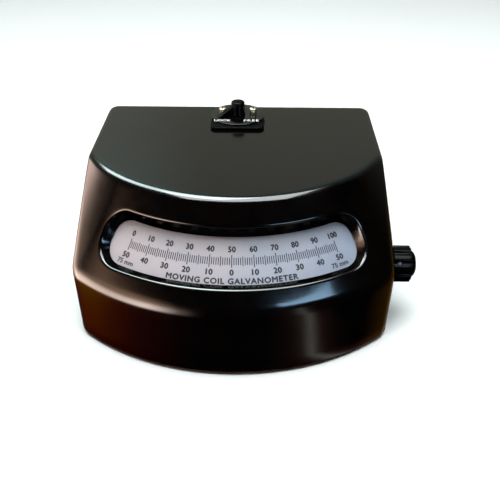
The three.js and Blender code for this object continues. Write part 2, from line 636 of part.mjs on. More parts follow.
function lampBulb() {
  const base = LAMP.end + 1.6;
  const glass = [];
  for (let i = 0; i <= 6; i += 1) {
    const angle = -0.75 + ((Math.PI / 2 + 0.75) * i) / 6;
    glass.push([5.6 * Math.cos(angle), base - 20 - 5.6 * Math.sin(angle)]);
  }
  glass[glass.length - 1][0] = 0;
  return turned([[0, base], [4.5, base], [4.5, base - 13], ...glass]);
}

function lampStand() {
  const z = MIRROR.z - LAMP.rise * LAMP.standY;
  const outer = LAMP.radius + 2.5;
  const y = -LAMP.standY;
  const upright = box(-3, 3, y - 4, y + 4, FLOOR_TOP, z);
  const foot = box(-13, 13, y - 9, y + 9, FLOOR_TOP, FLOOR_TOP + 3);
  const body = joined(barY(0, z, outer, y - 4, y + 4, 20), upright, foot);
  return body.subtract(barY(0, z, LAMP.radius + 0.9, y - 6, y + 6, 20));
}

// ---------------------------------------------------------------- transformer
function transformerCore() {
  const { halfWidth, halfHeight, halfDepth, leg, window, windowHalf } = TRANSFORMER;
  const stack = box(-halfWidth, halfWidth, -halfDepth, halfDepth, -halfHeight, halfHeight);
  const windows = [box(leg, leg + window, -20, 20, -windowHalf, windowHalf),
    box(-leg - window, -leg, -20, 20, -windowHalf, windowHalf)];
  return cut(stack, ...windows);
}

function transformerWinding() {
  const { halfDepth, leg, window, windowHalf, coil } = TRANSFORMER;
  const outer = leg + window - 0.5;
  const height = windowHalf - 0.5;
  const body = box(-outer, outer, -coil, coil, -height, height);
  return body.subtract(box(-leg - GAP, leg + GAP, -halfDepth - GAP, halfDepth + GAP, -20, 20));
}

// ---------------------------------------------------------------- terminals and lamp inlet
function terminalPanel() {
  const outline = roundedOutline(PANEL.halfWidth, PANEL.halfHeight, 3);
  const flat = plate(outline, -PANEL.thickness, 0).rotateX(Math.PI / 2);
  const body = solid(flat.translate(0, PANEL.y, PANEL.z));
  const { y, z } = PANEL;
  const posts = Object.values(TERMINAL_X).map((x) => barY(x, z, TERMINAL.studRadius + GAP, y - 2, y + 6));
  const corners = panelCorners().map(([x, height]) =>
    barY(x, height, PANEL.screwHole, y - 2, y + 6, 12));
  return cut(body, ...posts, ...corners, barY(INLET.x, z, INLET.shroud + GAP, y - 2, y + 6, 20));
}

// Terminal pieces stand along +Z from the panel's face and are turned to point backwards.
function terminalPost() {
  const { studRadius: stud, collarRadius, collar, innerEnd, capEnd } = TERMINAL;
  const inner = innerEnd - PANEL_FACE;
  const nutTop = -PANEL.thickness - 1;
  const tip = capEnd - PANEL_FACE - 3;
  const body = turned([[0, inner], [stud, inner], [stud, GAP], [collarRadius, GAP],
    [collarRadius, GAP + collar], [stud, GAP + collar], [stud, tip], [0, tip]]);
  return body.add(bar(0, 0, 4, nutTop - 3, nutTop, 6));
}

function terminalWasher() {
  const { studRadius, washerRadius, washer } = TERMINAL;
  const bore = studRadius + GAP;
  return turned([[bore, 0], [washerRadius, 0], [washerRadius, washer], [bore, washer], [bore, 0]]);
}

function terminalCap(height) {
  const steps = 32;
  const outline = [];
  for (let i = 0; i < steps; i += 1) {
    const angle = (i / steps) * 2 * Math.PI;
    const radius = TERMINAL.capRadius - (i % 4 === 3 ? 0.6 : 0);
    outline.push(new THREE.Vector2(radius * Math.cos(angle), radius * Math.sin(angle)));
  }
  const grip = solid(plate(outline, 1, height - 1.2));
  const ends = turned([[0, 0], [6, 0], [6, height - 0.4], [5.4, height], [0, height]]);
  return joined(grip, ends).subtract(bar(0, 0, TERMINAL.studRadius + GAP, -1, height - 2));
}

function lampInlet() {
  const { shroud, bore, end, back, x } = INLET;
  const { z } = PANEL;
  const flange = barY(x, z, shroud + 3, PANEL_FACE + GAP, PANEL_FACE + GAP + 2, 20);
  const body = joined(barY(x, z, shroud, back, end, 20), flange);
  const pins = [-1, 1].map((side) =>
    barY(x + side * INLET.pinX, z, INLET.pinRadius + GAP, back + 2, end, 12));
  return cut(body, barY(x, z, bore, PANEL.y, end + 1, 20), ...pins);
}

// ---------------------------------------------------------------- assembly
const instrument = new THREE.Group();
instrument.position.set(-BASE_CENTRE.x, -BASE_CENTRE.y, 0);

function place(name, body, finish, parent = instrument) {
  const material = new THREE.MeshStandardMaterial(FINISHES[finish]);
  const mesh = new THREE.Mesh(geometryOf(body), material);
  mesh.name = name;
  parent.add(mesh);
  return mesh;
}

function groupAt(x, y, z, rotationX = 0, rotationY = 0) {
  const group = new THREE.Group();
  group.position.set(x, y, z);
  group.rotation.set(rotationX, rotationY, 0);
  instrument.add(group);
  return group;
}

function addCase() {
  place('case_shell', caseShell(), 'bakelite');
  place('base_plate', basePlate(), 'black_steel');
  for (const [corner, [x, y]] of Object.entries(FOOT_PLACES)) {
    place(`foot_${corner}`, foot(), 'rubber').position.set(x, y, 0);
    place(`foot_screw_${corner}`, screw(FOOT_SCREW), 'steel').position.set(x, y, GAP);
  }
}

function addScale() {
  place('scale_plate', scalePlate(), 'opal');
  place('scale_carrier', scaleCarrier(), 'black_steel');
  place('scale_rail', scaleRail(), 'black_steel');
}

function addZeroAdjustment() {
  const drive = groupAt(ZERO.knobStart, ZERO.y, ZERO.z, 0, Math.PI / 2);
  const { turn, along, seat, radius, head, shankRadius, length } = GRUB;
  place('zero_knob', zeroKnob(), 'knob_black', drive).rotation.z = turn;
  const body = screw({ headRadius: radius, head, shankRadius, length }, 10);
  const grub = place('zero_grub_screw', body, 'steel', drive);
  grub.position.set(seat * Math.sin(turn), -seat * Math.cos(turn), along);
  grub.rotation.set(-Math.PI / 2, 0, turn, 'ZXY');
  const axis = groupAt(0, ZERO.y, ZERO.z, 0, Math.PI / 2);
  place('zero_screw', zeroScrew(), 'steel', axis).position.z = ZERO.bracketX - 3;
  place('zero_bush', zeroBush(), 'brass', axis).position.z = ZERO.bushStart;
  place('zero_nut', zeroNut(), 'brass');
  place('zero_bracket', zeroBracket(), 'black_steel');
}

function addClampKnob() {
  place('lock_base', lockBase(), 'bakelite');
  const knob = place('lock_knob', lockKnob(), 'knob_black');
  knob.position.set(0, LOCK.y, LOCK.discTop + GAP);
  knob.rotation.z = THREE.MathUtils.degToRad(LOCK.wingAngle);
  for (const [side, x] of [['left', -LOCK.screwX], ['right', LOCK.screwX]]) {
    const fixing = place(`lock_screw_${side}`, screw(LOCK_SCREW), 'brass');
    fixing.position.set(x, LOCK.y, LOCK.discTop + GAP + LOCK_SCREW.head);
    fixing.rotation.x = Math.PI;
  }
  place('lock_shaft', lockShaft(), 'steel').position.set(0, LOCK.y, 0);
  place('clamp_arm', clampArm(), 'brass');
}

function addMovement() {
  place('galvo_frame', galvoFrame(), 'aluminium');
  const { halfWidth: half, bottom, top } = POLE;
  place('magnet', box(-half, half, MAGNET.front, MAGNET.back, bottom, top), 'magnet_grey');
  place('pole_piece_left', polePiece(-1), 'steel');
  place('pole_piece_right', polePiece(1), 'steel');
  place('iron_core', bar(0, 0, CORE.radius, CORE.bottom, CORE.top, 20), 'steel');
  place('core_bracket', box(-2.5, 2.5, CORE.radius + GAP, POLE.depth, 36, 48), 'brass');
  place('moving_coil', movingCoil(), 'copper');
  place('coil_hanger', coilHanger(), 'aluminium');
  const mirror = barY(0, MIRROR.z, MIRROR.radius, 0, MIRROR.thickness);
  place('mirror', mirror, 'glass').position.y = -HANGER.stem - GAP - MIRROR.thickness;
  place('upper_anchor', upperAnchor(), 'brass');
  place('lower_anchor', lowerAnchor(), 'brass');
  const upper = bar(0, 0, 0.4, HANGER.top + GAP, FRAME.armBottom - 4 - GAP, 8);
  place('upper_suspension', upper, 'brass');
  const lower = bar(0, 0, 0.5, FRAME.footTop + 6 + 2 * GAP, COIL.bottom - GAP, 8);
  place('lower_suspension', lower, 'brass');
}

function addLamp() {
  const beam = groupAt(0, 0, MIRROR.z, Math.PI / 2 + Math.atan(LAMP.rise));
  place('lamp_tube', lampTube(), 'black_steel', beam);
  place('condenser_lens', condenserLens(), 'glass', beam);
  place('lamp_holder', lampHolder(), 'brass', beam);
  place('lamp_bulb', lampBulb(), 'glass', beam);
  place('lamp_stand', lampStand(), 'black_steel');
  const { x, y, halfHeight } = TRANSFORMER;
  const transformer = groupAt(x, y, FLOOR_TOP + halfHeight);
  place('transformer_core', transformerCore(), 'steel', transformer);
  place('transformer_winding', transformerWinding(), 'varnished_wire', transformer);
}

function addBackPanel() {
  place('terminal_panel', terminalPanel(), 'phenolic');
  panelCorners().forEach(([x, z], i) => {
    const fixing = place(`panel_screw_${i + 1}`, screw(PANEL_SCREW), 'steel');
    fixing.position.set(x, PANEL_FACE + GAP + PANEL_SCREW.head, z);
    fixing.rotation.x = Math.PI / 2;
  });
  const washerZ = GAP + TERMINAL.collar + GAP;
  const capZ = washerZ + TERMINAL.washer + GAP;
  for (const [colour, x] of Object.entries(TERMINAL_X)) {
    const stand = groupAt(x, PANEL_FACE, PANEL.z, -Math.PI / 2);
    const finish = colour === 'red' ? 'red_plastic' : 'knob_black';
    place(`terminal_post_${colour}`, terminalPost(), 'brass', stand);
    place(`terminal_washer_${colour}`, terminalWasher(), 'brass', stand).position.z = washerZ;
    const cap = terminalCap(TERMINAL.capEnd - PANEL_FACE - capZ);
    place(`terminal_cap_${colour}`, cap, finish, stand).position.z = capZ;
  }
  place('lamp_inlet', lampInlet(), 'knob_black');
  for (const [side, x] of [['left', INLET.x - INLET.pinX], ['right', INLET.x + INLET.pinX]]) {
    const pin = barY(x, PANEL.z, INLET.pinRadius, INLET.back + 2 + GAP, INLET.pinEnd, 12);
    place(`inlet_pin_${side}`, pin, 'brass');
  }
}

addCase();
addScale();
addZeroAdjustment();
addClampKnob();
addMovement();
addLamp();
addBackPanel();

const group = new THREE.Group();
group.add(instrument);

export default group;
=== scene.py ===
"""Looks of the light-spot galvanometer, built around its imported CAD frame.

Shapes are worked out in millimetres about the moving coil's axis, with the front towards -Y
and the table at z = 0, and put() turns them into the frame's metres.
"""
import json
import math

import bmesh
import bpy
from mathutils import Matrix, Vector


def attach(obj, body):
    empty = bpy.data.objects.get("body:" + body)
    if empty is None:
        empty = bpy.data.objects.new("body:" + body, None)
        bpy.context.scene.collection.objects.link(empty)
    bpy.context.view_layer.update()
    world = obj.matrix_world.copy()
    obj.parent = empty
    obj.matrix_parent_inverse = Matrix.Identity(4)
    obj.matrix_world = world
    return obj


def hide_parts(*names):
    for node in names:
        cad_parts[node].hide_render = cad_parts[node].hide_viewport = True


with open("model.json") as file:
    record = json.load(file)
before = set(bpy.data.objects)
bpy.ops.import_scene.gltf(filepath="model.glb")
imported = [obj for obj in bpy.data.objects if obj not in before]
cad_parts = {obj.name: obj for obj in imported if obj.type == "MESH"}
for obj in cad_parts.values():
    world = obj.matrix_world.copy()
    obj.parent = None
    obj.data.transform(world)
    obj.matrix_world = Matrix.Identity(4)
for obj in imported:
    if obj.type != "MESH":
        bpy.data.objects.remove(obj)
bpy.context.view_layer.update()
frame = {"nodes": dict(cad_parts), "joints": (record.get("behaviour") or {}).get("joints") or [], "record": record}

# ------------------------ driving dimensions
MM = 0.001
JOINTS = {joint["name"]: joint for joint in frame["joints"]}
AXIS = Vector((*JOINTS["coil_turn"]["pos_m"][:2], 0))

BOTTOM_Z, RIDGE_Z, TOP_Z = 3, 53, 117
BOTTOM_HALF, RIDGE_HALF, TOP_HALF = 113, 116, 108
RIDGE_RADIUS, TOP_RADIUS = 160, 118
BACK_Y, WALL = 46, 4
EDGE, RIM_EDGE, RIDGE_EDGE, BACK_CORNER, FRONT_CORNER = 8, 4, 20, 8, 15
SLOPE = math.atan2(TOP_Z - RIDGE_Z, RIDGE_RADIUS - TOP_RADIUS)
# A cone's base radius, height and tilt, at the middle line of the window or of the scale
FRONT_CONE = (140, 83.5, SLOPE)
SCALE_CONE = (133.65, 77.4, math.radians(49.5))
SCALE_HALF_ANGLE, SCALE_HALF_HEIGHT, SCALE_THICKNESS = math.radians(43), 19, 2

WINDOW_HALF_LENGTH, WINDOW_HALF_HEIGHT, WINDOW_CORNER = 97.7, 19.8, 17
LIP_RADIUS, LIP_REACH, LIP_TURN = 2.3, 2.1, math.radians(66)
COLLAR, PLATE_GAP = 3.3, 0.5

KNOB_Y, KNOB_Z = JOINTS["zero_turn"]["pos_m"][1] / MM - AXIS.y / MM, 46
LOCK_Y = JOINTS["lock_turn"]["pos_m"][1] / MM - AXIS.y / MM
PANEL_FACE, PANEL_Z = 49.3, 42
SHARP = math.radians(32)


# ------------------------ mesh helpers
def put(point):
    return Vector(point) * MM + AXIS


def new_object(name, points, faces):
    mesh = bpy.data.meshes.new(name)
    mesh.from_pydata([put(point) for point in points], [], faces)
    obj = bpy.data.objects.new(name, mesh)
    bpy.context.scene.collection.objects.link(obj)
    return obj


def apply_modifiers(obj):
    """Replaces the object's mesh by what its modifiers make of it."""
    graph = bpy.context.evaluated_depsgraph_get()
    mesh = bpy.data.meshes.new_from_object(obj.evaluated_get(graph))
    obj.modifiers.clear()
    obj.data = mesh
    return obj


def bevelled(obj, width, segments=3, angle=SHARP):
    """Rounds every edge sharper than the angle. The width is in millimetres."""
    modifier = obj.modifiers.new("bevel", "BEVEL")
    modifier.width = width * MM
    modifier.segments = segments
    modifier.limit_method = "ANGLE"
    modifier.angle_limit = angle
    modifier.use_clamp_overlap = True
    return apply_modifiers(obj)


def combined(obj, operation, others):
    """Adds or cuts away closed bodies, which are used up."""
    for other in others:
        modifier = obj.modifiers.new("boolean", "BOOLEAN")
        modifier.operation = operation
        modifier.solver = "EXACT"
        modifier.object = other
    apply_modifiers(obj)
    for other in others:
        bpy.data.objects.remove(other)
    return obj


def cut_away(obj, *tools):
    return combined(obj, "DIFFERENCE", tools)


def merged(obj, *others):
    return combined(obj, "UNION", others)


def shaded(obj):
    """Makes the faces point out and shades them smooth between the sharp edges."""
    work = bmesh.new()
    work.from_mesh(obj.data)
    bmesh.ops.remove_doubles(work, verts=work.verts, dist=1e-6)
    bmesh.ops.dissolve_degenerate(work, edges=work.edges, dist=1e-7)
    bmesh.ops.recalc_face_normals(work, faces=work.faces)
    work.to_mesh(obj.data)
    work.free()
    obj.data.shade_smooth()
    obj.data.set_sharp_from_angle(angle=SHARP)
    return obj


def finished(obj, look, slot, body, *nodes):
    """Gives a piece its look, its body and the CAD nodes that it stands for, which are hidden. The slot is not
    used.
    """
    shaded(obj)
    obj.data.materials.clear()
    obj.data.materials.append(LOOKS[look])
    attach(obj, body)
    if nodes:
        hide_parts(*nodes)
    return obj


def arc(x, y, radius, start, end, steps):
    angles = [start + (end - start) * i / steps for i in range(steps + 1)]
    return [(x + radius * math.cos(a), y + radius * math.sin(a)) for a in angles]


def star(reaches):
    """An outline of points at equal angles, with their distances from the middle."""
    points = []
    for i, reach in enumerate(reaches):
        angle = 2 * math.pi * i / len(reaches)
        points.append((reach * math.cos(angle), reach * math.sin(angle)))
    return points


def rounded_rectangle(half_x, half_y, radius):
    x, y, turn = half_x - radius, half_y - radius, math.pi / 2
    points = []
    for i, corner in enumerate(((x, y), (-x, y), (-x, -y), (x, -y))):
        points += arc(*corner, radius, i * turn, (i + 1) * turn, 8)
    return points


def prism(name, outline, low, high, matrix=Matrix()):
    """A closed body from an outline in X and Y and a thickness along Z."""
    count = len(outline)
    points = [(x, y, low) for x, y in outline] + [(x, y, high) for x, y in outline]
    faces = [tuple(reversed(range(count))), tuple(range(count, 2 * count))]
    for i in range(count):
        j = (i + 1) % count
        faces.append((i, j, count + j, count + i))
    return new_object(name, [matrix @ Vector(point) for point in points], faces)


def block(name, low, high, matrix=Matrix()):
    outline = [(low[0], low[1]), (high[0], low[1]), (high[0], high[1]), (low[0], high[1])]
    return prism(name, outline, low[2], high[2], matrix)


def turned(name, profile, matrix=Matrix(), steps=64):
    """A body of revolution about Z. Its profile of (radius, z) runs from axis to axis or is
    a closed ring, whose last point isn't repeated."""
    solid = profile[0][0] == 0
    points, rings = [], []
    for radius, z in profile:
        if radius == 0:
            rings.append([len(points)] * steps)
            points.append(Vector((0, 0, z)))
            continue
        rings.append(list(range(len(points), len(points) + steps)))
        for i in range(steps):
            angle = 2 * math.pi * i / steps
            points.append(Vector((radius * math.cos(angle), radius * math.sin(angle), z)))
    pairs = list(zip(rings, rings[1:]))
    if not solid:
        pairs.append((rings[-1], rings[0]))
    faces = []
    for low, high in pairs:
        for i in range(steps):
            j = (i + 1) % steps
            corners = [low[i], low[j], high[j], high[i]]
            faces.append(tuple(dict.fromkeys(corners)))
    return new_object(name, [matrix @ point for point in points], faces)


def rod(name, radius, low, high, matrix=Matrix(), steps=48):
    return turned(name, [(0, low), (radius, low), (radius, high), (0, high)], matrix, steps)


def at(x, y, z, axis="Z"):
    """A place whose own Z points along an axis of the instrument."""
    turns = {
        "Z": Matrix(),
        "-Z": Matrix.Rotation(math.pi, 4, "X"),
        "X": Matrix.Rotation(math.pi / 2, 4, "Y"),
        "Y": Matrix.Rotation(-math.pi / 2, 4, "X"),
        "-Y": Matrix.Rotation(math.pi / 2, 4, "X"),
    }
    return Matrix.Translation((x, y, z)) @ turns[axis]


def slotted_screw(name, place, head, height, shank, length, dome=0.3):
    """A slotted screw whose head's top is at its own z = 0 and whose shank points to -Z."""
    profile = [(0, dome)]
    profile += [(head * 0.55, dome * 0.75), (head * 0.86, 0), (head, -0.35), (head, -height)]
    profile += [(shank, -height), (shank, -length), (0, -length)]
    screw = turned(name, profile, place, 40)
    slot = block("slot", (-0.16 * head, -2 * head, -0.45 * height), (0.16 * head, 2 * head, 2), place)
    cut_away(shaded(screw), slot)
    return bevelled(screw, 0.08, 2)


def cone_point(cone, along, up, out):
    """A point by its distance along a cone's arc, up its slope and out of its face."""
    base, height, tilt = cone
    radius = base - up * math.cos(tilt) + out * math.sin(tilt)
    z = height + up * math.sin(tilt) + out * math.cos(tilt)
    angle = along / base
    return (radius * math.sin(angle), -radius * math.cos(angle), z)


# ------------------------ materials
def rgba(colour):
    return (*colour, 1) if isinstance(colour, tuple) else (colour, colour, colour, 1)


def colour_ramp(nodes, stops):
    """A ramp from 0 to 1 with (position, colour) stops. A colour may be a grey's number."""
    node = nodes.new("ShaderNodeValToRGB")
    elements = node.color_ramp.elements
    for element, (position, colour) in zip(elements, (stops[0], stops[-1])):
        element.position, element.color = position, rgba(colour)
    for position, colour in stops[1:-1]:
        elements.new(position).color = rgba(colour)
    return node


class Look:
    """A procedural material: a Principled shader and a few helpers for its nodes. Patterns
    use the piece's own coordinates, in metres, so that they stay on it when it moves."""

    def __init__(self, name, **values):
        self.material = bpy.data.materials.new(name)
        self.material.use_nodes = True
        self.nodes = self.material.node_tree.nodes
        self.links = self.material.node_tree.links
        self.shader = self.nodes["Principled BSDF"]
        for key, value in values.items():
            self.shader.inputs[key.replace("_", " ")].default_value = value
        self.place = self.nodes.new("ShaderNodeTexCoord").outputs["Object"]

    def stretched(self, scale):
        mapping = self.nodes.new("ShaderNodeMapping")
        mapping.inputs["Scale"].default_value = scale
        self.links.new(self.place, mapping.inputs["Vector"])
        return mapping.outputs["Vector"]

    def noise(self, scale, detail=4, roughness=0.5, place=None):
        node = self.nodes.new("ShaderNodeTexNoise")
        node.inputs["Scale"].default_value = scale
        node.inputs["Detail"].default_value = detail
        node.inputs["Roughness"].default_value = roughness
        self.links.new(place or self.place, node.inputs["Vector"])
        return node.outputs["Fac"]

    def bands(self, scale, axis):
        node = self.nodes.new("ShaderNodeTexWave")
        node.bands_direction = axis
        node.inputs["Scale"].default_value = scale
        self.links.new(self.place, node.inputs["Vector"])
        return node.outputs["Fac"]

    def across(self, low, high):
        """How far along X a point lies between two places, from 0 to 1."""
        node = self.nodes.new("ShaderNodeSeparateXYZ")
        self.links.new(self.place, node.inputs[0])
        return self.range(node.outputs["X"], 0, 1, low, high)

    def total(self, first, second):
        node = self.nodes.new("ShaderNodeMath")
        for value, socket in zip((first, second), node.inputs):
            self.links.new(value, socket)
        return node.outputs[0]

    def ramp(self, value, stops):
        node = colour_ramp(self.nodes, stops)
        self.links.new(value, node.inputs["Fac"])
        return node.outputs["Color"]

    def range(self, value, low, high, start=0.35, end=0.65):
        node = self.nodes.new("ShaderNodeMapRange")
        limits = {"From Min": start, "From Max": end, "To Min": low, "To Max": high}
        for key, number in limits.items():
            node.inputs[key].default_value = number
        self.links.new(value, node.inputs["Value"])
        return node.outputs["Result"]

    def colour(self, value, stops):
        self.links.new(self.ramp(value, stops), self.shader.inputs["Base Color"])
        return self

    def roughness(self, value, low, high):
        self.links.new(self.range(value, low, high), self.shader.inputs["Roughness"])
        return self

    def bumps(self, *layers):
        """Bump from (pattern, depth in metres) layers, one on top of the other."""
        normal = None
        for pattern, depth in layers:
            node = self.nodes.new("ShaderNodeBump")
            node.inputs["Distance"].default_value = depth
            self.links.new(pattern, node.inputs["Height"])
            if normal:
                self.links.new(normal, node.inputs["Normal"])
            normal = node.outputs["Normal"]
        self.links.new(normal, self.shader.inputs["Normal"])
        return self


def bakelite(name, brown, rough, gloss=0.6, coat=0.25):
    """Black moulding with brown flow marks, a haze of handling and fine scratches."""
    look = Look(name, Specular_IOR_Level=gloss, Coat_Weight=coat, Coat_Roughness=0.06)
    black, dark_grey = (0.0005, 0.0005, 0.0006), (0.0008, 0.0007, 0.0007)
    look.colour(look.noise(38, 5, 0.6), [(0.35, black), (0.6, brown), (0.75, dark_grey)])
    look.roughness(look.noise(22, 8, 0.72), rough, rough + 0.1)
    scratches = look.noise(60, 3, 0.8, look.stretched((40, 1.5, 22)))
    fine = look.noise(420, 3, 0.5)
    return look.bumps((look.noise(26, 2), 0.00012), (fine, 0.000006), (scratches, 0.000006)).material


def opal(name):
    """Translucent white sheet with a random cloudy tone. Its colour also carries painted light along X: a pinkish
    painted glow at the lit left end, fading to a darker bluish painted shade at the right.
    """
    look = Look(name, Coat_Weight=0.3, Coat_Roughness=0.2, Subsurface_Weight=0.12)
    look.shader.inputs["Subsurface Radius"].default_value = (0.002, 0.0018, 0.002)
    # Painted light and shade: pinkish and lit at the left end, darker and bluish at the right, with random
    # cloudiness on top
    painted_light_and_cloud = look.total(look.across(-0.11, 0.11), look.range(look.noise(34, 4, 0.55), -0.12, 0.12))
    look.colour(painted_light_and_cloud, [(0.1, (0.46, 0.405, 0.43)), (0.4, (0.4, 0.375, 0.42)),
                       (0.62, (0.34, 0.355, 0.43)), (0.9, (0.27, 0.31, 0.4))])
    look.roughness(look.noise(240, 4), 0.3, 0.42)
    return look.bumps((look.noise(700, 3), 0.000012)).material


def paint(name, dark, light):
    look = Look(name)
    look.colour(look.noise(900, 4, 0.7), [(0.35, dark), (0.7, light)])
    look.roughness(look.noise(400), 0.45, 0.65)
    return look.bumps((look.noise(1500, 2), 0.00001)).material


def metal(name, dark, light, rough, grain=(1, 1, 30)):
    look = Look(name, Metallic=1.0)
    tarnish = look.noise(120, 6, 0.65)
    look.colour(tarnish, [(0.3, dark), (0.62, light)])
    brushed = look.noise(240, 4, 0.6, look.stretched(grain))
    look.roughness(brushed, rough, rough + 0.16)
    return look.bumps((brushed, 0.00001), (look.noise(800, 3), 0.000008)).material


def cast_metal(name, dark, light):
    look = Look(name, Metallic=0.8)
    look.colour(look.noise(160, 6, 0.7), [(0.3, dark), (0.7, light)])
    look.roughness(look.noise(500), 0.5, 0.7)
    return look.bumps((look.noise(650, 5, 0.7), 0.0001)).material


def rubber(name):
    look = Look(name, Specular_IOR_Level=0.35)
    look.colour(look.noise(300, 5), [(0.3, 0.008), (0.7, 0.02)])
    look.roughness(look.noise(600), 0.72, 0.88)
    return look.bumps((look.noise(1300, 3), 0.00004)).material


def phenolic(name):
    look = Look(name, Specular_IOR_Level=0.5)
    fibres = look.noise(60, 6, 0.75, look.stretched((3, 1, 26)))
    look.colour(fibres, [(0.3, (0.012, 0.006, 0.004)), (0.7, (0.035, 0.016, 0.009))])
    look.roughness(look.noise(260, 5), 0.34, 0.5)
    return look.bumps((fibres, 0.00002), (look.noise(900), 0.00001)).material


def coloured_plastic(name, dark, light):
    look = Look(name, Coat_Weight=0.2, Coat_Roughness=0.12)
    look.colour(look.noise(90, 5), [(0.3, dark), (0.7, light)])
    look.roughness(look.noise(350, 4), 0.24, 0.36)
    return look.bumps((look.noise(500, 3), 0.00001)).material


def wound_wire(name, dark, light, pitch, axis):
    """Turns of varnished wire, with their pitch in millimetres along an axis."""
    look = Look(name, Metallic=0.35, Coat_Weight=0.4, Coat_Roughness=0.2)
    turns = look.bands(1 / (pitch * MM * 20), axis)
    look.colour(turns, [(0.1, dark), (0.6, light)])
    look.roughness(look.noise(500), 0.3, 0.45)
    return look.bumps((turns, 0.00008), (look.noise(300), 0.00003)).material


def clear_glass(name):
    look = Look(name, Transmission_Weight=1.0, IOR=1.5)
    look.colour(look.noise(60), [(0.3, (0.9, 0.95, 0.95)), (0.7, (0.96, 0.98, 0.98))])
    look.roughness(look.noise(300, 5), 0.02, 0.06)
    return look.bumps((look.noise(120), 0.00001)).material


LOOKS = {
    "bakelite": bakelite("case_bakelite", (0.0016, 0.0008, 0.0006), 0.1),
    "knob_black": bakelite("knob_bakelite", (0.0012, 0.001, 0.001), 0.14, 0.07, 0.0),
    "matt_black": bakelite("worn_bakelite", (0.0014, 0.0009, 0.0008), 0.5, 0.04, 0.0),
    "red_plastic": coloured_plastic("red_plastic", (0.32, 0.012, 0.01), (0.46, 0.025, 0.018)),
    "phenolic": phenolic("phenolic_sheet"),
    "opal": opal("opal_scale"),
    "rubber": rubber("foot_rubber"),
    "steel": metal("plated_steel", (0.36, 0.36, 0.36), (0.55, 0.55, 0.54), 0.22),
    "dull_steel": metal("dull_steel", (0.1, 0.1, 0.11), (0.2, 0.2, 0.21), 0.34),
    "black_steel": cast_metal("painted_steel", (0.012, 0.012, 0.013), (0.03, 0.03, 0.031)),
    "brass": metal("brass", (0.42, 0.26, 0.09), (0.72, 0.5, 0.2), 0.2),
    "pale_brass": metal("pale_brass", (0.5, 0.42, 0.26), (0.8, 0.74, 0.52), 0.24),
    "aluminium": metal("aluminium", (0.5, 0.5, 0.51), (0.68, 0.68, 0.69), 0.3, (1, 24, 1)),
    "magnet_grey": cast_metal("magnet_iron", (0.06, 0.06, 0.065), (0.12, 0.12, 0.125)),
    "varnished_wire": wound_wire("winding", (0.12, 0.03, 0.01), (0.42, 0.14, 0.05), 0.5, "Z"),
    "glass": clear_glass("clear_glass"),
    "mirror": metal("silvered_mirror", (0.86, 0.87, 0.88), (0.93, 0.93, 0.94), 0.02),
    "ink": paint("scale_ink", (0.006, 0.006, 0.008), (0.03, 0.028, 0.034)),
    "white_paint": paint("letter_paint", (0.62, 0.62, 0.6), (0.86, 0.86, 0.84)),
}


# ------------------------ case moulding
# The front's patch round the window: degrees and millimetres either way, and rows of faces
PATCH_ANGLE, PATCH_UP, PATCH_ROWS = 42, 25, 16
# Columns of faces at each side of the patch
BESIDE_PATCH = 6
PATCH_FIRST, PATCH_LAST = BESIDE_PATCH, BESIDE_PATCH + 2 * PATCH_ANGLE
# Rows of points below the patch and above it
SKIRT_ROWS, RIDGE_ROWS = 5, 8
SLOPE_ROWS, EDGE_ROWS = 4, 12
SIDE_STEPS, BACK_STEPS = 9, 7
BOTTOM_EDGE = 0.7
LEAN = math.pi / 2 - SLOPE
# Where the window's wall ends, counted outwards from the outline, and what is added to that
# above and below the window
FOOT, FOOT_ABOVE, FOOT_BELOW = -2.4, -2.75, 0.1
OPENING_X, OPENING_Z, SHAFT_HOLE, CLAMP_HOLE = 50, 16, 5.3, 3.6


def half_width(z):
    if z < RIDGE_Z:
        share = (z - BOTTOM_Z) / (RIDGE_Z - BOTTOM_Z)
        return BOTTOM_HALF + (RIDGE_HALF - BOTTOM_HALF) * share
    share = (z - RIDGE_Z) / (TOP_Z - RIDGE_Z)
    return RIDGE_HALF + (TOP_HALF - RIDGE_HALF) * share


def on_slope(up, inset):
    """Height and radius of the sloping front, at a distance up from the window's middle."""
    radius = FRONT_CONE[0] - up * math.cos(SLOPE) - inset * math.sin(SLOPE)
    return FRONT_CONE[1] + up * math.sin(SLOPE) - inset * math.cos(SLOPE), radius


def rim_pull(z, inset, rim):
    """How far the rounded top edge of the sides and the back has drawn in at height z."""
    above = min(max(0, z - (TOP_Z - inset - rim)), rim)
    return rim - math.sqrt(rim**2 - above**2)


def skirt_rows(inset):
    """The rows of the upright skirt and of the rounded ridge above it."""
    front, ridge_edge = RIDGE_RADIUS - inset, RIDGE_EDGE - inset
    reach = RIDGE_RADIUS - RIDGE_EDGE - TOP_RADIUS + RIDGE_EDGE / math.sin(SLOPE)
    ridge = TOP_Z - math.tan(SLOPE) * reach
    start = BOTTOM_Z + BOTTOM_EDGE
    rows = []
    if inset == 0:
        rows += [(BOTTOM_Z, front - BOTTOM_EDGE, BOTTOM_EDGE), (BOTTOM_Z + 0.2, front - 0.2, 0.2)]
    rows += [(start + (ridge - start) * i / SKIRT_ROWS, front, 0) for i in range(SKIRT_ROWS + 1)]
    for i in range(1, RIDGE_ROWS + 1):
        turn = LEAN * i / RIDGE_ROWS
        rows.append((ridge + ridge_edge * math.sin(turn), front - ridge_edge * (1 - math.cos(turn)), 0))
    return rows


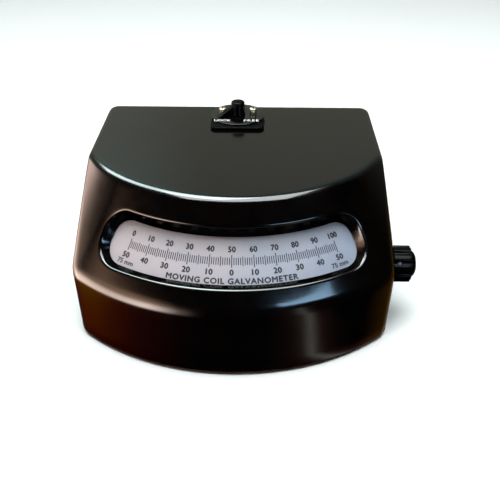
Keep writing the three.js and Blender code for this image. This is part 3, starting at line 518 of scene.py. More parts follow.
def top_rows(inset, high_z):
    """The rows of the slope above the window's patch and of the rounded top edge."""
    edge, rim = max(EDGE - inset, 0.5), max(RIM_EDGE - inset, 0.5)
    centre_z = TOP_Z - inset - edge
    drop = (inset + edge) / math.sin(SLOPE)
    centre_radius = TOP_RADIUS + (TOP_Z - centre_z) / math.tan(SLOPE) - drop
    arc_z = centre_z + edge * math.sin(LEAN)
    even = SLOPE_ROWS - 1
    levels = [high_z + (centre_z - high_z) * i / even for i in range(1, even + 1)]
    levels.append((centre_z + arc_z) / 2)
    rows = []
    for z in levels:
        up = (z - FRONT_CONE[1] + inset * math.cos(SLOPE)) / math.sin(SLOPE)
        rows.append((z, on_slope(up, inset)[1], rim_pull(z, inset, rim)))
    for i in range(EDGE_ROWS):
        turn = LEAN + (math.pi / 2 - LEAN) * i / (EDGE_ROWS - 1)
        z = centre_z + edge * math.sin(turn)
        rows.append((z, centre_radius + edge * math.cos(turn), rim_pull(z, inset, rim)))
    return rows


def case_rows(inset):
    """The case's level outlines from the bottom up, as (z, front radius, pull), where pull is
    how far the sides and back have drawn in. The inner face has no bottom edge."""
    rows = skirt_rows(inset)
    foot_z, foot_radius = rows[-1][:2]
    low_z, low_radius = on_slope(-PATCH_UP, inset)
    rows.append(((foot_z + low_z) / 2, (foot_radius + low_radius) / 2, 0))
    ups = [PATCH_UP * (2 * i / PATCH_ROWS - 1) for i in range(PATCH_ROWS + 1)]
    rows += [(*on_slope(up, inset), 0) for up in ups]
    return rows + top_rows(inset, rows[-1][0])


def level_outline(z, radius, pull, inset):
    """One level of the case from its front's arc round to the right. Within the window's
    patch the arc has a point at each whole degree."""
    half = half_width(z) - inset - pull
    back = BACK_Y - inset - pull
    back_corner = max(BACK_CORNER - inset - pull, 2)
    front_corner = max(FRONT_CORNER - inset - pull, 1.5)
    corner_x = half - front_corner
    corner_y = -math.sqrt((radius - front_corner) ** 2 - corner_x**2)
    turn = math.atan2(-corner_y, corner_x)
    limit = math.pi / 2 - turn
    patch = math.radians(PATCH_ANGLE)
    front = [-limit + (limit - patch) * i / BESIDE_PATCH for i in range(BESIDE_PATCH)]
    front += [math.radians(angle) for angle in range(-PATCH_ANGLE, PATCH_ANGLE + 1)]
    front += [patch + (limit - patch) * i / BESIDE_PATCH for i in range(1, BESIDE_PATCH + 1)]
    depth = back - back_corner - corner_y
    right = arc(corner_x, corner_y, front_corner, -turn, 0, 7)[1:]
    right += [(half, corner_y + depth * i / SIDE_STEPS) for i in range(1, SIDE_STEPS)]
    right += arc(half - back_corner, back - back_corner, back_corner, 0, math.pi / 2, 8)
    middle = [((half - back_corner) * (1 - 2 * i / BACK_STEPS), back) for i in range(1, BACK_STEPS)]
    left = [(-x, y) for x, y in reversed(right)]
    points = [(radius * math.sin(angle), -radius * math.cos(angle)) for angle in front]
    return points + right + middle + left


def plate_depth(up):
    """Depth of the scale plate's face below the sloping front, at a height up the slope."""
    across = FRONT_CONE[0] - SCALE_CONE[0]
    drop = FRONT_CONE[1] - SCALE_CONE[1]
    depth = across * math.sin(SLOPE) + drop * math.cos(SLOPE)
    middle = across * math.cos(SLOPE) - drop * math.sin(SLOPE)
    return depth + (up - middle) * math.tan(SLOPE - SCALE_CONE[2])


class Ray:
    """A line across the window's rim, from a point of the patch's edge towards the window."""

    def __init__(self, along, up):
        core_along = WINDOW_HALF_LENGTH - WINDOW_CORNER
        core_up = WINDOW_HALF_HEIGHT - WINDOW_CORNER
        self.core = (max(-core_along, min(core_along, along)), max(-core_up, min(core_up, up)))
        reach = (along - self.core[0], up - self.core[1])
        length = math.hypot(*reach)
        self.way = (reach[0] / length, reach[1] / length)
        self.edge = length - WINDOW_CORNER

    def point(self, offset, depth):
        """Offset is the distance outside the window's outline."""
        reach = WINDOW_CORNER + offset
        along = self.core[0] + self.way[0] * reach
        up = self.core[1] + self.way[1] * reach
        return cone_point(FRONT_CONE, along, up, -depth)

    def wall_foot(self):
        """Where the drafted wall of the window ends, just clear of the scale plate."""
        rise = self.way[1]
        offset = FOOT + (FOOT_ABOVE if rise > 0 else FOOT_BELOW) * rise**2
        return offset, self.depth_at(offset)

    def depth_at(self, offset):
        up = self.core[1] + self.way[1] * (WINDOW_CORNER + offset)
        return plate_depth(up) - PLATE_GAP

    def stations(self):
        """The rim's section: flat, lip, drafted wall, foot, collar and the wall's inner face."""
        lip_steps, wall_steps = 8, 4
        section = [(LIP_REACH + (self.edge - LIP_REACH) * share, 0) for share in (0.75, 0.45, 0.2)]
        for i in range(lip_steps + 1):
            turn = LIP_TURN * i / lip_steps
            section.append((LIP_REACH - LIP_RADIUS * math.sin(turn), LIP_RADIUS * (1 - math.cos(turn))))
        start, depth = section[-1]
        foot, foot_depth = self.wall_foot()
        for i in range(1, wall_steps + 1):
            share = i / wall_steps
            section.append((start + (foot - start) * share, depth + (foot_depth - depth) * share))
        section += [(COLLAR, self.depth_at(COLLAR)), (COLLAR, WALL)]
        section += [(COLLAR + (self.edge - COLLAR) * share, WALL) for share in (0.4, 0.7)]
        return section


class Mould:
    """The case's points and faces. A ring is a closed row of numbered points."""

    def __init__(self):
        self.points, self.faces = [], []

    def ring(self, points):
        start = len(self.points)
        self.points += points
        return list(range(start, len(self.points)))

    def band(self, near, far, columns=None):
        """Faces between two rings, all the way round or in the given columns."""
        for i in columns or range(len(near)):
            k = (i + 1) % len(near)
            self.faces.append((near[i], near[k], far[k], far[i]))


class Skin:
    """The outer or the inner face of the case's wall, as rings from the bottom up."""

    def __init__(self, mould, inset):
        self.mould, self.inset = mould, inset
        self.rows = case_rows(inset)
        self.rings = [self.level(row) for row in self.rows]
        self.patch_low = len(self.rings) - EDGE_ROWS - SLOPE_ROWS - PATCH_ROWS - 1

    def level(self, row, shrink=0):
        z, radius, pull = row
        outline = level_outline(z, radius - shrink, pull + shrink, self.inset)
        return self.mould.ring([(x, y, z) for x, y in outline])

    def close_sides(self):
        """Faces everywhere but in the window's patch."""
        beside = [i for i in range(len(self.rings[0])) if not PATCH_FIRST <= i < PATCH_LAST]
        for j, (low, high) in enumerate(zip(self.rings, self.rings[1:])):
            in_patch = self.patch_low <= j < self.patch_low + PATCH_ROWS
            self.mould.band(low, high, beside if in_patch else None)

    def close_top(self):
        ring = self.rings[-1]
        for shrink in (2, 6):
            following = self.level(self.rows[-1], shrink)
            self.mould.band(ring, following)
            ring = following
        self.mould.faces.append(tuple(ring))

    def patch_edge(self):
        """The (column, row) places once round the patch."""
        low, high = self.patch_low, self.patch_low + PATCH_ROWS
        edge = [(i, low) for i in range(PATCH_FIRST, PATCH_LAST)]
        edge += [(PATCH_LAST, j) for j in range(low, high)]
        edge += [(i, high) for i in range(PATCH_LAST, PATCH_FIRST, -1)]
        edge += [(PATCH_FIRST, j) for j in range(high, low, -1)]
        return edge

    def patch_ring(self):
        return [self.rings[row][column] for column, row in self.patch_edge()]


def close_window(mould, outer, inner):
    """Joins the two skins through the window, from one patch's edge to the other's."""
    rays = []
    for column, row in outer.patch_edge():
        along = math.radians(column - PATCH_FIRST - PATCH_ANGLE) * FRONT_CONE[0]
        up = PATCH_UP * (2 * (row - outer.patch_low) / PATCH_ROWS - 1)
        rays.append(Ray(along, up))
    rings = [outer.patch_ring()]
    for stations in zip(*[ray.stations() for ray in rays]):
        rings.append(mould.ring([ray.point(*station) for ray, station in zip(rays, stations)]))
    rings.append(inner.patch_ring())
    for near, far in zip(rings, rings[1:]):
        mould.band(near, far)


def case_moulding():
    mould = Mould()
    outer, inner = Skin(mould, 0), Skin(mould, WALL)
    outer.close_sides()
    inner.close_sides()
    mould.band(outer.rings[0], inner.rings[0])
    outer.close_top()
    inner.close_top()
    close_window(mould, outer, inner)
    return new_object("case_moulding", mould.points, mould.faces)


def make_case():
    case = case_moulding()
    low = (-OPENING_X, BACK_Y - 10, PANEL_Z - OPENING_Z)
    high = (OPENING_X, BACK_Y + 1, PANEL_Z + OPENING_Z)
    tools = [
        block("back_opening", low, high),
        rod("shaft_hole", SHAFT_HOLE, 100, 125, at(0, KNOB_Y, KNOB_Z, "X")),
        rod("clamp_hole", CLAMP_HOLE, 105, 120, at(0, LOCK_Y, 0)),
    ]
    cut_away(shaded(case), *tools)
    finished(case, "bakelite", "bakelite", "instrument", "case_shell")


# ------------------------ scale
def bent_body(name, cone, half_along, half_up, low, high):
    """A closed strip bent round a cone, between two distances out of its face."""
    columns, rows = 90, 10
    points = []
    for out in (low, high):
        for j in range(rows + 1):
            for i in range(columns + 1):
                along = half_along * (2 * i / columns - 1)
                up = half_up * (2 * j / rows - 1)
                points.append(cone_point(cone, along, up, out))
    row, layer = columns + 1, (columns + 1) * (rows + 1)
    faces = []
    for j in range(rows):
        for i in range(columns):
            first = j * row + i
            quad = (first, first + 1, first + row + 1, first + row)
            faces += [tuple(reversed(quad)), tuple(vertex + layer for vertex in quad)]
    border = list(range(columns))
    border += [j * row + columns for j in range(rows)]
    border += [rows * row + i for i in range(columns, 0, -1)]
    border += [j * row for j in range(rows, 0, -1)]
    for i, first in enumerate(border):
        second = border[(i + 1) % len(border)]
        faces.append((first, second, second + layer, first + layer))
    return new_object(name, points, faces)


# The ink's lower and upper face out of the scale plate
INK_LOW, INK_HIGH = -0.03, 0.05
DIVISIONS, MARKED_ANGLE = 100, math.radians(64.3)
DIVISION = MARKED_ANGLE / DIVISIONS * SCALE_CONE[0]


def tick_size(mark):
    """Half the height and half the width of a division's mark."""
    if mark % 10 == 0:
        return 4.2, 0.32
    if mark % 5 == 0:
        return 3.3, 0.3
    return 2.5, 0.3


def tick_marks():
    corners = ((-1, -1), (1, -1), (1, 1), (-1, 1))
    quads = ((3, 2, 1, 0), (4, 5, 6, 7), (0, 1, 5, 4), (1, 2, 6, 5), (2, 3, 7, 6), (3, 0, 4, 7))
    points, faces = [], []
    for mark in range(DIVISIONS + 1):
        middle = (mark - DIVISIONS // 2) * DIVISION
        height, width = tick_size(mark)
        start = len(points)
        for out in (INK_LOW, INK_HIGH):
            for side, rise in corners:
                points.append(cone_point(SCALE_CONE, middle + side * width, rise * height, out))
        for quad in quads:
            faces.append(tuple(start + corner for corner in quad))
    return new_object("scale_graduations", points, faces)


def lettering(text, size, weight=0.0, spacing=1.0):
    """Closed flat letters in millimetres, as (points, faces) centred on the origin. Their
    strokes are made heavier by the weight, by laying the letters down four times."""
    curve = bpy.data.curves.new("letters", "FONT")
    curve.body = text
    curve.size = size
    curve.space_character = spacing
    curve.align_x, curve.align_y = "CENTER", "CENTER"
    curve.extrude = 0.5
    curve.resolution_u = 3
    shape = bpy.data.objects.new("letters", curve)
    bpy.context.scene.collection.objects.link(shape)
    graph = bpy.context.evaluated_depsgraph_get()
    mesh = bpy.data.meshes.new_from_object(shape.evaluated_get(graph))
    layers = ((-weight, 0, 0), (weight, 0, 0.1), (0, weight, 0.2), (0, -weight, 0.3))
    points, faces = [], []
    for shift_x, shift_y, lift in layers:
        start = len(points)
        for vertex in mesh.vertices:
            x, y, z = vertex.co
            points.append((x + shift_x, y + shift_y, z * (1 + lift)))
        faces += [tuple(start + i for i in polygon.vertices) for polygon in mesh.polygons]
    bpy.data.objects.remove(shape)
    bpy.data.meshes.remove(mesh)
    return points, faces


def printed(name, labels, placed):
    """Letters on a face: labels are (text, x, y, size, weight, spacing), and placed() turns a
    letter's point into the instrument's."""
    points, faces = [], []
    for text, middle_x, middle_y, size, weight, spacing in labels:
        shape, letters = lettering(text, size, weight, spacing)
        start = len(points)
        points += [placed(middle_x + x, middle_y + y, z) for x, y, z in shape]
        faces += [tuple(start + vertex for vertex in letter) for letter in letters]
    return new_object(name, points, faces)


def on_scale(along, up, z):
    return cone_point(SCALE_CONE, along, up, INK_HIGH * 2 * z if z > 0 else INK_LOW)


def make_scale():
    half_along = SCALE_HALF_ANGLE * SCALE_CONE[0]
    plate = bent_body("scale_sheet", SCALE_CONE, half_along, SCALE_HALF_HEIGHT, -SCALE_THICKNESS, 0)
    bevelled(plate, 0.3, 2, math.radians(60))
    finished(plate, "opal", "opal", "scale", "scale_plate")
    plate.visible_glossy = False
    finished(tick_marks(), "ink", "opal", "scale")
    size, weight, spacing, middle = 5.3, 0.28, 1.06, DIVISIONS // 2
    labels = []
    for mark in range(0, DIVISIONS + 1, 10):
        along = (mark - middle) * DIVISION
        labels.append((str(mark), along, 7.9, size, weight, spacing))
        labels.append((str(abs(mark - middle)), along, -7.7, size, weight, spacing))
    end = middle * DIVISION
    for side in (-1, 1):
        labels.append(("75 mm", side * (end - 1.5), -12.6, 4.6, 0.14, 1.0))
    finished(printed("scale_numbers", labels, on_scale), "ink", "opal", "scale")
    title = [("MOVING COIL GALVANOMETER", 0, -13.6, size, 0.26, 1.13)]
    finished(printed("scale_title", title, on_scale), "ink", "opal", "scale")


# ------------------------ clamp knob
CLAMP_LOW, PLATE_TOP, DISC_TOP = 117.3, 119.6, 121
PLATE_HALF, PLATE_FRONT, PLATE_CORNER, DISC_RADIUS = 21.1, -7.2, 5, 21.7
CLAMP_SHAFT, CLAMP_SCREW_X = 2.8, 12.3
HUB_RADIUS, HUB_TOP, WING_HALF, WING_LENGTH, WING_ROOT = 5.4, 132, 1.4, 18, 7


def clamp_screw_holes():
    places = [at(x, LOCK_Y, 0) for x in (-CLAMP_SCREW_X, CLAMP_SCREW_X)]
    return [rod("screw_hole", 1.9, 110, 125, place) for place in places]


def make_clamp_base():
    quarter = math.pi / 2
    corner_x, corner_y = PLATE_HALF - PLATE_CORNER, PLATE_FRONT + PLATE_CORNER
    outline = arc(0, LOCK_Y, PLATE_HALF, 0, 2 * quarter, 24)
    outline += arc(-corner_x, corner_y, PLATE_CORNER, 2 * quarter, 3 * quarter, 8)
    outline += arc(corner_x, corner_y, PLATE_CORNER, 3 * quarter, 4 * quarter, 8)
    plate = prism("clamp_plate", outline, CLAMP_LOW, PLATE_TOP)
    bevelled(plate, 1.8, 6, math.radians(60))
    cut_away(plate, rod("shaft_hole", CLAMP_SHAFT, 110, 125, at(0, LOCK_Y, 0)), *clamp_screw_holes())
    finished(plate, "matt_black", "bakelite", "instrument", "lock_base")

    profile = [(CLAMP_SHAFT, PLATE_TOP), (DISC_RADIUS, PLATE_TOP)]
    profile += [(DISC_RADIUS, DISC_TOP), (CLAMP_SHAFT, DISC_TOP)]
    disc = turned("clamp_disc", profile, at(0, LOCK_Y, 0), 96)
    bevelled(disc, 0.18, 3)
    cut_away(disc, *clamp_screw_holes())
    finished(disc, "bakelite", "bakelite", "instrument", "lock_base")


def on_disc(x, y, z):
    return (x, y, DISC_TOP + (0.12 * z if z > 0 else -0.05))


def make_clamp_lettering():
    labels = [("LOCK", -12.1, 3.7, 5, 0.05, 1.0), ("FREE", 10.8, 3.7, 5, 0.05, 1.24)]
    letters = printed("clamp_lettering", labels, on_disc)
    finished(letters, "white_paint", "opal", "instrument")


def make_clamp_knob():
    base = DISC_TOP + 0.3
    top = HUB_TOP - base
    place = at(0, LOCK_Y, base) @ Matrix.Rotation(math.radians(-150), 4, "Z")
    profile = [(0, 0), (6, 0), (6, 0.5), (5.5, 1.3), (HUB_RADIUS, 2), (HUB_RADIUS, top - 1.5)]
    profile += [(5.2, top - 0.9), (4.7, top - 0.4), (4, top - 0.1), (0, top)]
    hub = turned("pointer_knob", profile, place, 72)
    side = [(0, 0), (WING_LENGTH, 0), (WING_LENGTH, 0.7), (HUB_RADIUS, WING_ROOT), (0, WING_ROOT)]
    wing = prism("wing", side, -WING_HALF, WING_HALF, place @ Matrix.Rotation(math.pi / 2, 4, "X"))
    bevelled(wing, 0.4, 3)
    merged(hub, wing)
    cut_away(hub, rod("bore", CLAMP_SHAFT, -1, top - 3, place))
    finished(hub, "knob_black", "knob_black", "lock", "lock_knob")
    for side_name, x in (("left", -CLAMP_SCREW_X), ("right", CLAMP_SCREW_X)):
        screw = slotted_screw(f"clamp_screw_{side_name}", at(x, LOCK_Y, DISC_TOP + 5.2), 2.9, 4.9, 1.5, 18)
        finished(screw, "pale_brass", "brass", "instrument", f"lock_screw_{side_name}")


# ------------------------ zero knob
KNOB_START, BARREL_END, KNOB_END, KNOB_RADIUS = 116.6, 129.6, 134, 13.5
FLUTES, FLUTE_DEPTH = 10, 1.5


def make_zero_knob():
    place = at(KNOB_START, KNOB_Y, KNOB_Z, "X") @ Matrix.Rotation(math.radians(-33), 4, "Z")
    length = BARREL_END - KNOB_START
    steps = 160
    waves = [max(0, -math.cos(2 * math.pi * i / steps * FLUTES)) ** 0.8 for i in range(steps)]
    outline = star([KNOB_RADIUS - FLUTE_DEPTH * wave for wave in waves])
    barrel = prism("fluted_knob", outline, 0, length, place)
    bevelled(barrel, 0.5, 3, math.radians(50))
    profile = [(0, length - 1), (9.8, length - 1), (9.7, length + 0.8), (9.3, length + 1.9)]
    profile += [(8.4, length + 2.9), (6.8, length + 3.7), (4.4, length + 4.2), (0, KNOB_END - KNOB_START)]
    merged(barrel, turned("dome", profile, place, 72))
    cut_away(barrel, rod("bore", 3.3, -1, length, place),
             rod("grub_hole", 1.8, 3, 15, place @ at(0, 0, 4, "-Y")))
    finished(barrel, "knob_black", "knob_black", "zero_drive", "zero_knob")
    grub = slotted_screw("grub_screw", place @ at(0, -11.6, 4, "-Y"), 1.5, 0.8, 1.45, 5.5, 0)
    finished(grub, "dull_steel", "steel", "zero_drive", "zero_grub_screw")


# ------------------------ feet
FEET = {
    "front_left": (-94, -98),
    "front_right": (94, -98),
    "back_left": (-100, 33),
    "back_right": (100, 33),
}


def make_feet():
    profile = [(4.6, 0), (6.5, 0), (7.2, 0.3), (7.5, 1), (7.5, 3.7), (2.3, 3.7), (2.3, 2), (4.6, 2)]
    for corner, (x, y) in FEET.items():
        foot = turned(f"rubber_foot_{corner}", profile, at(x, y, 0), 56)
        finished(foot, "rubber", "rubber", "instrument", f"foot_{corner}")
        screw = slotted_screw(f"base_screw_{corner}", at(x, y, 0.3, "-Z"), 4.2, 1.4, 2, 22, 0)
        finished(screw, "steel", "steel", "instrument", f"foot_screw_{corner}")


# ------------------------ terminals and lamp inlet
PANEL_BACK, PANEL_HALF_X, PANEL_HALF_Z = 46.3, 62, 25
PANEL_SCREW_X, PANEL_SCREW_Z = 56, 20.5
TERMINALS = {"black": (-38, "knob_black"), "red": (-19, "red_plastic")}
CAP_LOW, CAP_HIGH, CAP_RADIUS, CAP_TEETH, TOOTH_DEPTH = 3.9, 14.9, 7, 28, 0.45
INLET_X, INLET_BACK, INLET_END, PIN_X = 32, 32, 60, 5


def panel_hole(x, z, radius):
    return rod("panel_hole", radius, 40, 55, at(x, 0, z, "Y"))


def make_panel():
    outline = rounded_rectangle(PANEL_HALF_X, PANEL_HALF_Z, 3)
    sheet = prism("back_panel", outline, PANEL_BACK, PANEL_FACE, at(0, 0, PANEL_Z, "Y"))
    bevelled(sheet, 0.4, 3)
    tools = [panel_hole(x, PANEL_Z, 2.3) for x, _ in TERMINALS.values()]
    tools.append(panel_hole(INLET_X, PANEL_Z, 11.3))
    sides = ((-1, -1), (1, -1), (-1, 1), (1, 1))
    corners = [(side * PANEL_SCREW_X, PANEL_Z + rise * PANEL_SCREW_Z) for side, rise in sides]
    tools += [panel_hole(x, z, 1.7) for x, z in corners]
    cut_away(sheet, *tools)
    finished(sheet, "phenolic", "phenolic", "instrument", "terminal_panel")
    for i, (x, z) in enumerate(corners, 1):
        screw = slotted_screw(f"panel_fixing_{i}", at(x, PANEL_FACE + 2.3, z, "Y"), 3, 2, 1.4, 11)
        finished(screw, "steel", "steel", "instrument", f"panel_screw_{i}")


def make_binding_post(colour, place):
    profile = [(0, -15.3), (1.8, -15.3), (2, -15), (2, 0.3), (6.2, 0.3), (6.5, 0.6), (6.5, 2)]
    profile += [(6.2, 2.3), (2, 2.3), (2, 11.6), (1.7, 11.9), (0, 11.9)]
    post = turned(f"binding_post_{colour}", profile, place, 56)
    nut = prism("nut", arc(0, 0, 4, 0, 2 * math.pi, 6)[:-1], -7, -4, place)
    merged(post, bevelled(nut, 0.25, 2))
    finished(post, "brass", "brass", "instrument", f"terminal_post_{colour}")
    profile = [(2.3, 2.6), (5.6, 2.6), (5.8, 2.8), (5.8, 3.4), (5.6, 3.6), (2.3, 3.6)]
    washer = turned(f"contact_washer_{colour}", profile, place, 56)
    finished(washer, "brass", "brass", f"washer_{colour}", f"terminal_washer_{colour}")


def make_screw_cap(colour, place, finish):
    low, high = CAP_LOW, CAP_HIGH
    reaches = [CAP_RADIUS - (TOOTH_DEPTH if i % 4 > 1 else 0) for i in range(CAP_TEETH * 4)]
    cap = prism(f"screw_cap_{colour}", star(reaches), low + 1, high - 1.4, place)
    bevelled(cap, 0.12, 2)
    profile = [(0, low), (5.9, low), (6.2, low + 0.3), (6.2, high - 0.9), (5.9, high - 0.4)]
    profile += [(5, high - 0.1), (3.4, high), (0, high - 0.25)]
    merged(cap, turned("ends", profile, place, 72))
    cut_away(cap, rod("bore", 2.3, low - 1, high - 2, place))
    finished(cap, finish, finish, f"cap_{colour}", f"terminal_cap_{colour}")


def make_terminals():
    for colour, (x, finish) in TERMINALS.items():
        place = at(x, PANEL_FACE, PANEL_Z, "Y")
        make_binding_post(colour, place)
        make_screw_cap(colour, place, finish)


def make_inlet():
    back, end = INLET_BACK, INLET_END
    profile = [(0, back), (10.6, back), (11, back + 0.4), (11, 49.6), (13.6, 49.6), (14, 50)]
    profile += [(14, 51.2), (13.6, 51.6), (11, 51.6), (11, end - 0.6), (10.6, end), (9.4, end)]
    profile += [(9, end - 0.4), (9, PANEL_BACK), (0, PANEL_BACK)]
    body = turned("lamp_socket", profile, at(INLET_X, 0, PANEL_Z, "Y"), 72)
    pins = {"left": at(INLET_X - PIN_X, 0, PANEL_Z, "Y"), "right": at(INLET_X + PIN_X, 0, PANEL_Z, "Y")}
    cut_away(body, *[rod("pin_hole", 2.05, back + 2, end, place) for place in pins.values()])
    finished(body, "knob_black", "knob_black", "instrument", "lamp_inlet")
    profile = [(0, back + 2.3), (1.75, back + 2.3), (1.75, 55.9), (1.5, 56.6), (0.9, 57), (0, 57)]
    for name, place in pins.items():
        pin = turned(f"contact_pin_{name}", profile, place, 40)
        finished(pin, "brass", "brass", "instrument", f"inlet_pin_{name}")


# ------------------------ carried-over CAD pieces
def paint_cad_nodes():
    """Gives each CAD piece that stays its own procedural finish."""
    slots = {part["node"]: part["material_slot"] for part in frame["record"]["subparts"]}
    for name, obj in frame["nodes"].items():
        if obj.hide_render:
            continue
        obj.data.materials.clear()
        obj.data.materials.append(LOOKS[slots[name]])
        obj.data.shade_smooth()
        obj.data.set_sharp_from_angle(angle=SHARP)


# ------------------------ stage and light
def soft_box(name, place, target, size, power, colour, fills=True, turn=0):
    """An area light, in the frame's metres. One that doesn't fill is only seen in shiny
    surfaces."""
    light = bpy.data.lights.new(name, "AREA")
    light.shape = "RECTANGLE"
    light.size, light.size_y = size
    light.energy = power
    light.color = colour
    obj = bpy.data.objects.new(name, light)
    bpy.context.scene.collection.objects.link(obj)
    obj.visible_diffuse = fills
    obj.location = place
    obj.rotation_euler = (Vector(place) - Vector(target)).to_track_quat("Z", "Y").to_euler()
    obj.rotation_euler.rotate_axis("Z", turn)


def stage_mesh(name, points, faces, look):
    """A piece of the studio, in the frame's metres."""
    mesh = bpy.data.meshes.new(name)
    mesh.from_pydata(points, [], faces)
    mesh.materials.append(look.material)
    obj = bpy.data.objects.new(name, mesh)
    bpy.context.scene.collection.objects.link(obj)
    return obj


def make_stage():
    """A pale floor, and a pale closed ring round it that only the camera sees."""
    reach, low, high = 3, -2, 4
    look = Look("pale_floor", Roughness=0.9)
    look.colour(look.noise(3), [(0.3, 0.86), (0.7, 0.88)])
    corners = [(-reach, -reach, 0), (reach, -reach, 0), (reach, reach, 0), (-reach, reach, 0)]
    floor = stage_mesh("floor", corners, [(0, 1, 2, 3)], look)
    floor.visible_glossy = False

    look = Look("pale_backdrop", Emission_Color=rgba(0.8), Emission_Strength=1.0)
    look.colour(look.noise(3), [(0.3, 0.0), (0.7, 0.01)])
    ring = arc(0, 0, reach * 0.98, 0, 2 * math.pi, 64)[:-1]
    points = [(x, y, z) for z in (low, high) for x, y in ring]
    count = len(ring)
    faces = [(i, (i + 1) % count, count + (i + 1) % count, count + i) for i in range(count)]
    faces += [tuple(range(count)), tuple(range(count, 2 * count))]
    backdrop = stage_mesh("backdrop", points, faces, look)
    backdrop.visible_glossy = backdrop.visible_diffuse = backdrop.visible_shadow = False


class Sky:
    """The room seen in shiny surfaces: colours by direction, in the world's own nodes. A
    ramp runs along X, Y or Z of the direction, from -1 to 1."""

    def __init__(self, name):
        self.world = bpy.data.worlds.new(name)
        self.world.use_nodes = True
        self.nodes, self.links = self.world.node_tree.nodes, self.world.node_tree.links
        self.direction = self.nodes.new("ShaderNodeSeparateXYZ")
        place = self.nodes.new("ShaderNodeTexCoord").outputs["Generated"]
        self.links.new(place, self.direction.inputs[0])

    def ramp(self, axis, *stops):
        node = colour_ramp(self.nodes, [((place + 1) / 2, colour) for place, colour in stops])
        half = self.nodes.new("ShaderNodeMapRange")
        half.inputs["From Min"].default_value = -1
        self.links.new(self.direction.outputs[axis], half.inputs["Value"])
        self.links.new(half.outputs["Result"], node.inputs["Fac"])
        return node.outputs["Color"]

    def mixed(self, kind, first, *others, share=None):
        for other in others:
            node = self.nodes.new("ShaderNodeMix")
            node.data_type, node.blend_type = "RGBA", kind
            node.inputs[0].default_value = 1
            if share:
                self.links.new(share, node.inputs[0])
            self.links.new(first, node.inputs[6])
            self.links.new(other, node.inputs[7])
            first = node.outputs[2]
        return first

    def times(self, *colours):
        return self.mixed("MULTIPLY", *colours)

    def plus(self, *colours):
        return self.mixed("ADD", *colours)

    def show(self, colour):
        self.links.new(colour, self.nodes["Background"].inputs["Color"])
        bpy.context.scene.world = self.world


def table_colours(sky):
    """Below the level: warm at the far left, a pale strip at the right, olive at the back right."""
    table = sky.ramp(
        "X", (-1.0, (0.9, 0.42, 0.0)), (-0.86, (0.6, 0.22, 0.0)), (-0.8, (0.26, 0.03, 0.0)),
        (-0.7, (0.1, 0.004, 0.0)), (-0.5, (0.03, 0.0, 0.0)), (-0.3, 0.0), (0.25, 0.0),
        (0.42, (0.04, 0.01, 0.01)), (0.5, (0.09, 0.05, 0.04)), (0.55, (0.85, 0.85, 0.76)),
        (0.6, (0.08, 0.02, 0.02)), (0.72, 0.0), (1.0, 0.0))
    edge = sky.ramp("Y", (-0.1, 0.0), (0.2, (0.14, 0.06, 0.004)), (0.5, (0.2, 0.1, 0.006)), (0.6, 0.0))
    return sky.plus(table, sky.times(edge, sky.ramp("X", (0.5, 0.0), (0.7, 1.0))))


def wall_colours(sky, room):
    """The grey-green wall behind the object."""
    wall = sky.ramp(
        "Z", (0.0, (0.2, 0.19, 0.16)), (0.47, (0.27, 0.275, 0.235)), (0.54, (0.26, 0.29, 0.265)),
        (0.63, (0.36, 0.48, 0.47)), (0.9, (0.5, 0.66, 0.66)))
    return sky.times(room, wall)


def window_colours(sky, left):
    """A tall warm window at the left, brightest behind its middle."""
    curtain = sky.ramp(
        "Y", (0.02, 0.0), (0.06, (1.9, 1.35, 1.0)), (0.2, (1.9, 1.35, 1.05)), (0.3, (2.6, 1.85, 1.5)),
        (0.42, (3.8, 2.75, 2.4)), (0.55, (3.8, 2.75, 2.4)), (0.68, (0.7, 0.5, 0.4)), (0.8, 0.0))
    height = sky.ramp("Z", (-0.5, 0.0), (-0.3, 1.0), (0.11, 1.0), (0.2, 0.15), (0.3, 0.0))
    return sky.times(curtain, left, height)


def sill_colours(sky):
    """The bright low sill of that window, which ends towards the back."""
    sill = sky.ramp(
        "Z", (-0.48, 0.0), (-0.36, (12.0, 9.6, 8.4)), (-0.2, (12.0, 9.6, 8.4)),
        (-0.02, (4.4, 3.0, 2.5)), (0.1, (1.4, 0.9, 0.7)), (0.18, 0.0))
    reach = sky.ramp(
        "X", (-0.95, 0.6), (-0.85, 0.7), (-0.72, 1.0), (-0.6, 0.6), (-0.48, 0.12), (-0.35, 0.0))
    return sky.times(sill, reach, sky.ramp("Y", (0.1, 1.0), (0.35, 0.0)))


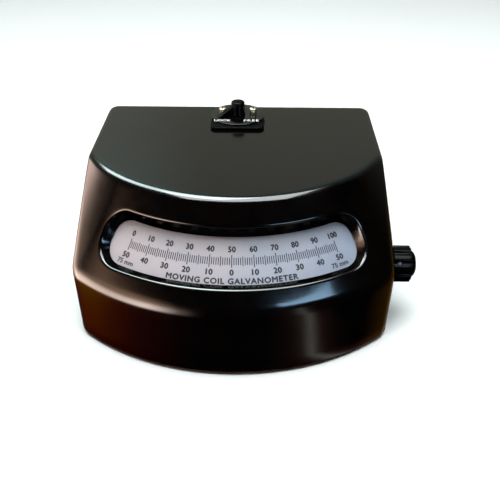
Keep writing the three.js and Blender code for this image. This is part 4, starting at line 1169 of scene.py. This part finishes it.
def corner_colours(sky, left, room):
    """The sill, a brown shade at the front left and a teal ceiling at the back."""
    shade = sky.ramp("Z", (0.0, 0.0), (0.15, (2.2, 1.35, 0.9)), (0.27, (1.6, 0.95, 0.62)), (0.37, 0.0))
    front = sky.ramp("Y", (-0.24, 1.0), (-0.12, 0.5), (0.0, 0.0))
    ceiling = sky.ramp(
        "Z", (0.3, (0.08, 0.09, 0.08)), (0.4, (0.1, 0.12, 0.11)), (0.48, (0.2, 0.34, 0.32)),
        (0.6, (0.2, 0.34, 0.32)))
    teal = sky.times(ceiling, sky.ramp("X", (-0.3, 1.0), (-0.2, 0.9), (-0.08, 0.0)))
    return sky.plus(sill_colours(sky), sky.times(shade, left, front), sky.times(teal, room))


def make_light():
    sky = Sky("studio")
    room = sky.ramp("Y", (0.1, 0.0), (0.55, 0.35), (0.85, 1.0))
    left = sky.ramp("X", (-0.8, 1.0), (-0.5, 0.0))
    level = sky.ramp("Z", (-0.08, 0.0), (0.02, 1.0))
    around = sky.mixed("MIX", table_colours(sky), wall_colours(sky, room), share=level)
    sky.show(sky.plus(around, window_colours(sky, left), corner_colours(sky, left, room)))
    soft_box("overhead", (0, -0.15, 1.5), (0, 0, 0), (1.5, 1.1), 46, (0.93, 1.0, 1.0))
    soft_box("ceiling", (-0.95, 0.65, 1.55), (-0.95, 0.65, 0), (2.3, 0.7), 58, (0.82, 1.0, 0.98),
             fills=False, turn=math.radians(-36))
    soft_box("right_window", (0.235, -0.345, 0.175), (0.04, -0.1, 0.057), (0.21, 0.07), 0.36,
             (0.42, 0.7, 1.0), fills=False)


# ------------------------ camera
def make_camera():
    camera = bpy.data.cameras.new("camera")
    camera.lens, camera.sensor_width = 54, 36
    obj = bpy.data.objects.new("camera", camera)
    bpy.context.scene.collection.objects.link(obj)
    azimuth, elevation, roll = math.radians(0.82), math.radians(32.26), math.radians(0.17)
    distance = 0.58305
    target = put((11.15, -60, 40.1))
    level = math.cos(elevation)
    back = Vector((math.sin(azimuth) * level, -math.cos(azimuth) * level, math.sin(elevation)))
    obj.location = target + back * distance
    turn = back.to_track_quat("Z", "Y").to_matrix() @ Matrix.Rotation(roll, 3, "Z")
    obj.rotation_euler = turn.to_euler()
    camera.clip_start, camera.clip_end = 0.01, 20
    bpy.context.scene.camera = obj
    bpy.context.scene.view_settings.view_transform = "Standard"


make_camera()
make_stage()
make_light()
make_case()
make_scale()
make_clamp_base()
make_clamp_lettering()
make_clamp_knob()
make_zero_knob()
make_feet()
make_panel()
make_terminals()
make_inlet()
paint_cad_nodes()
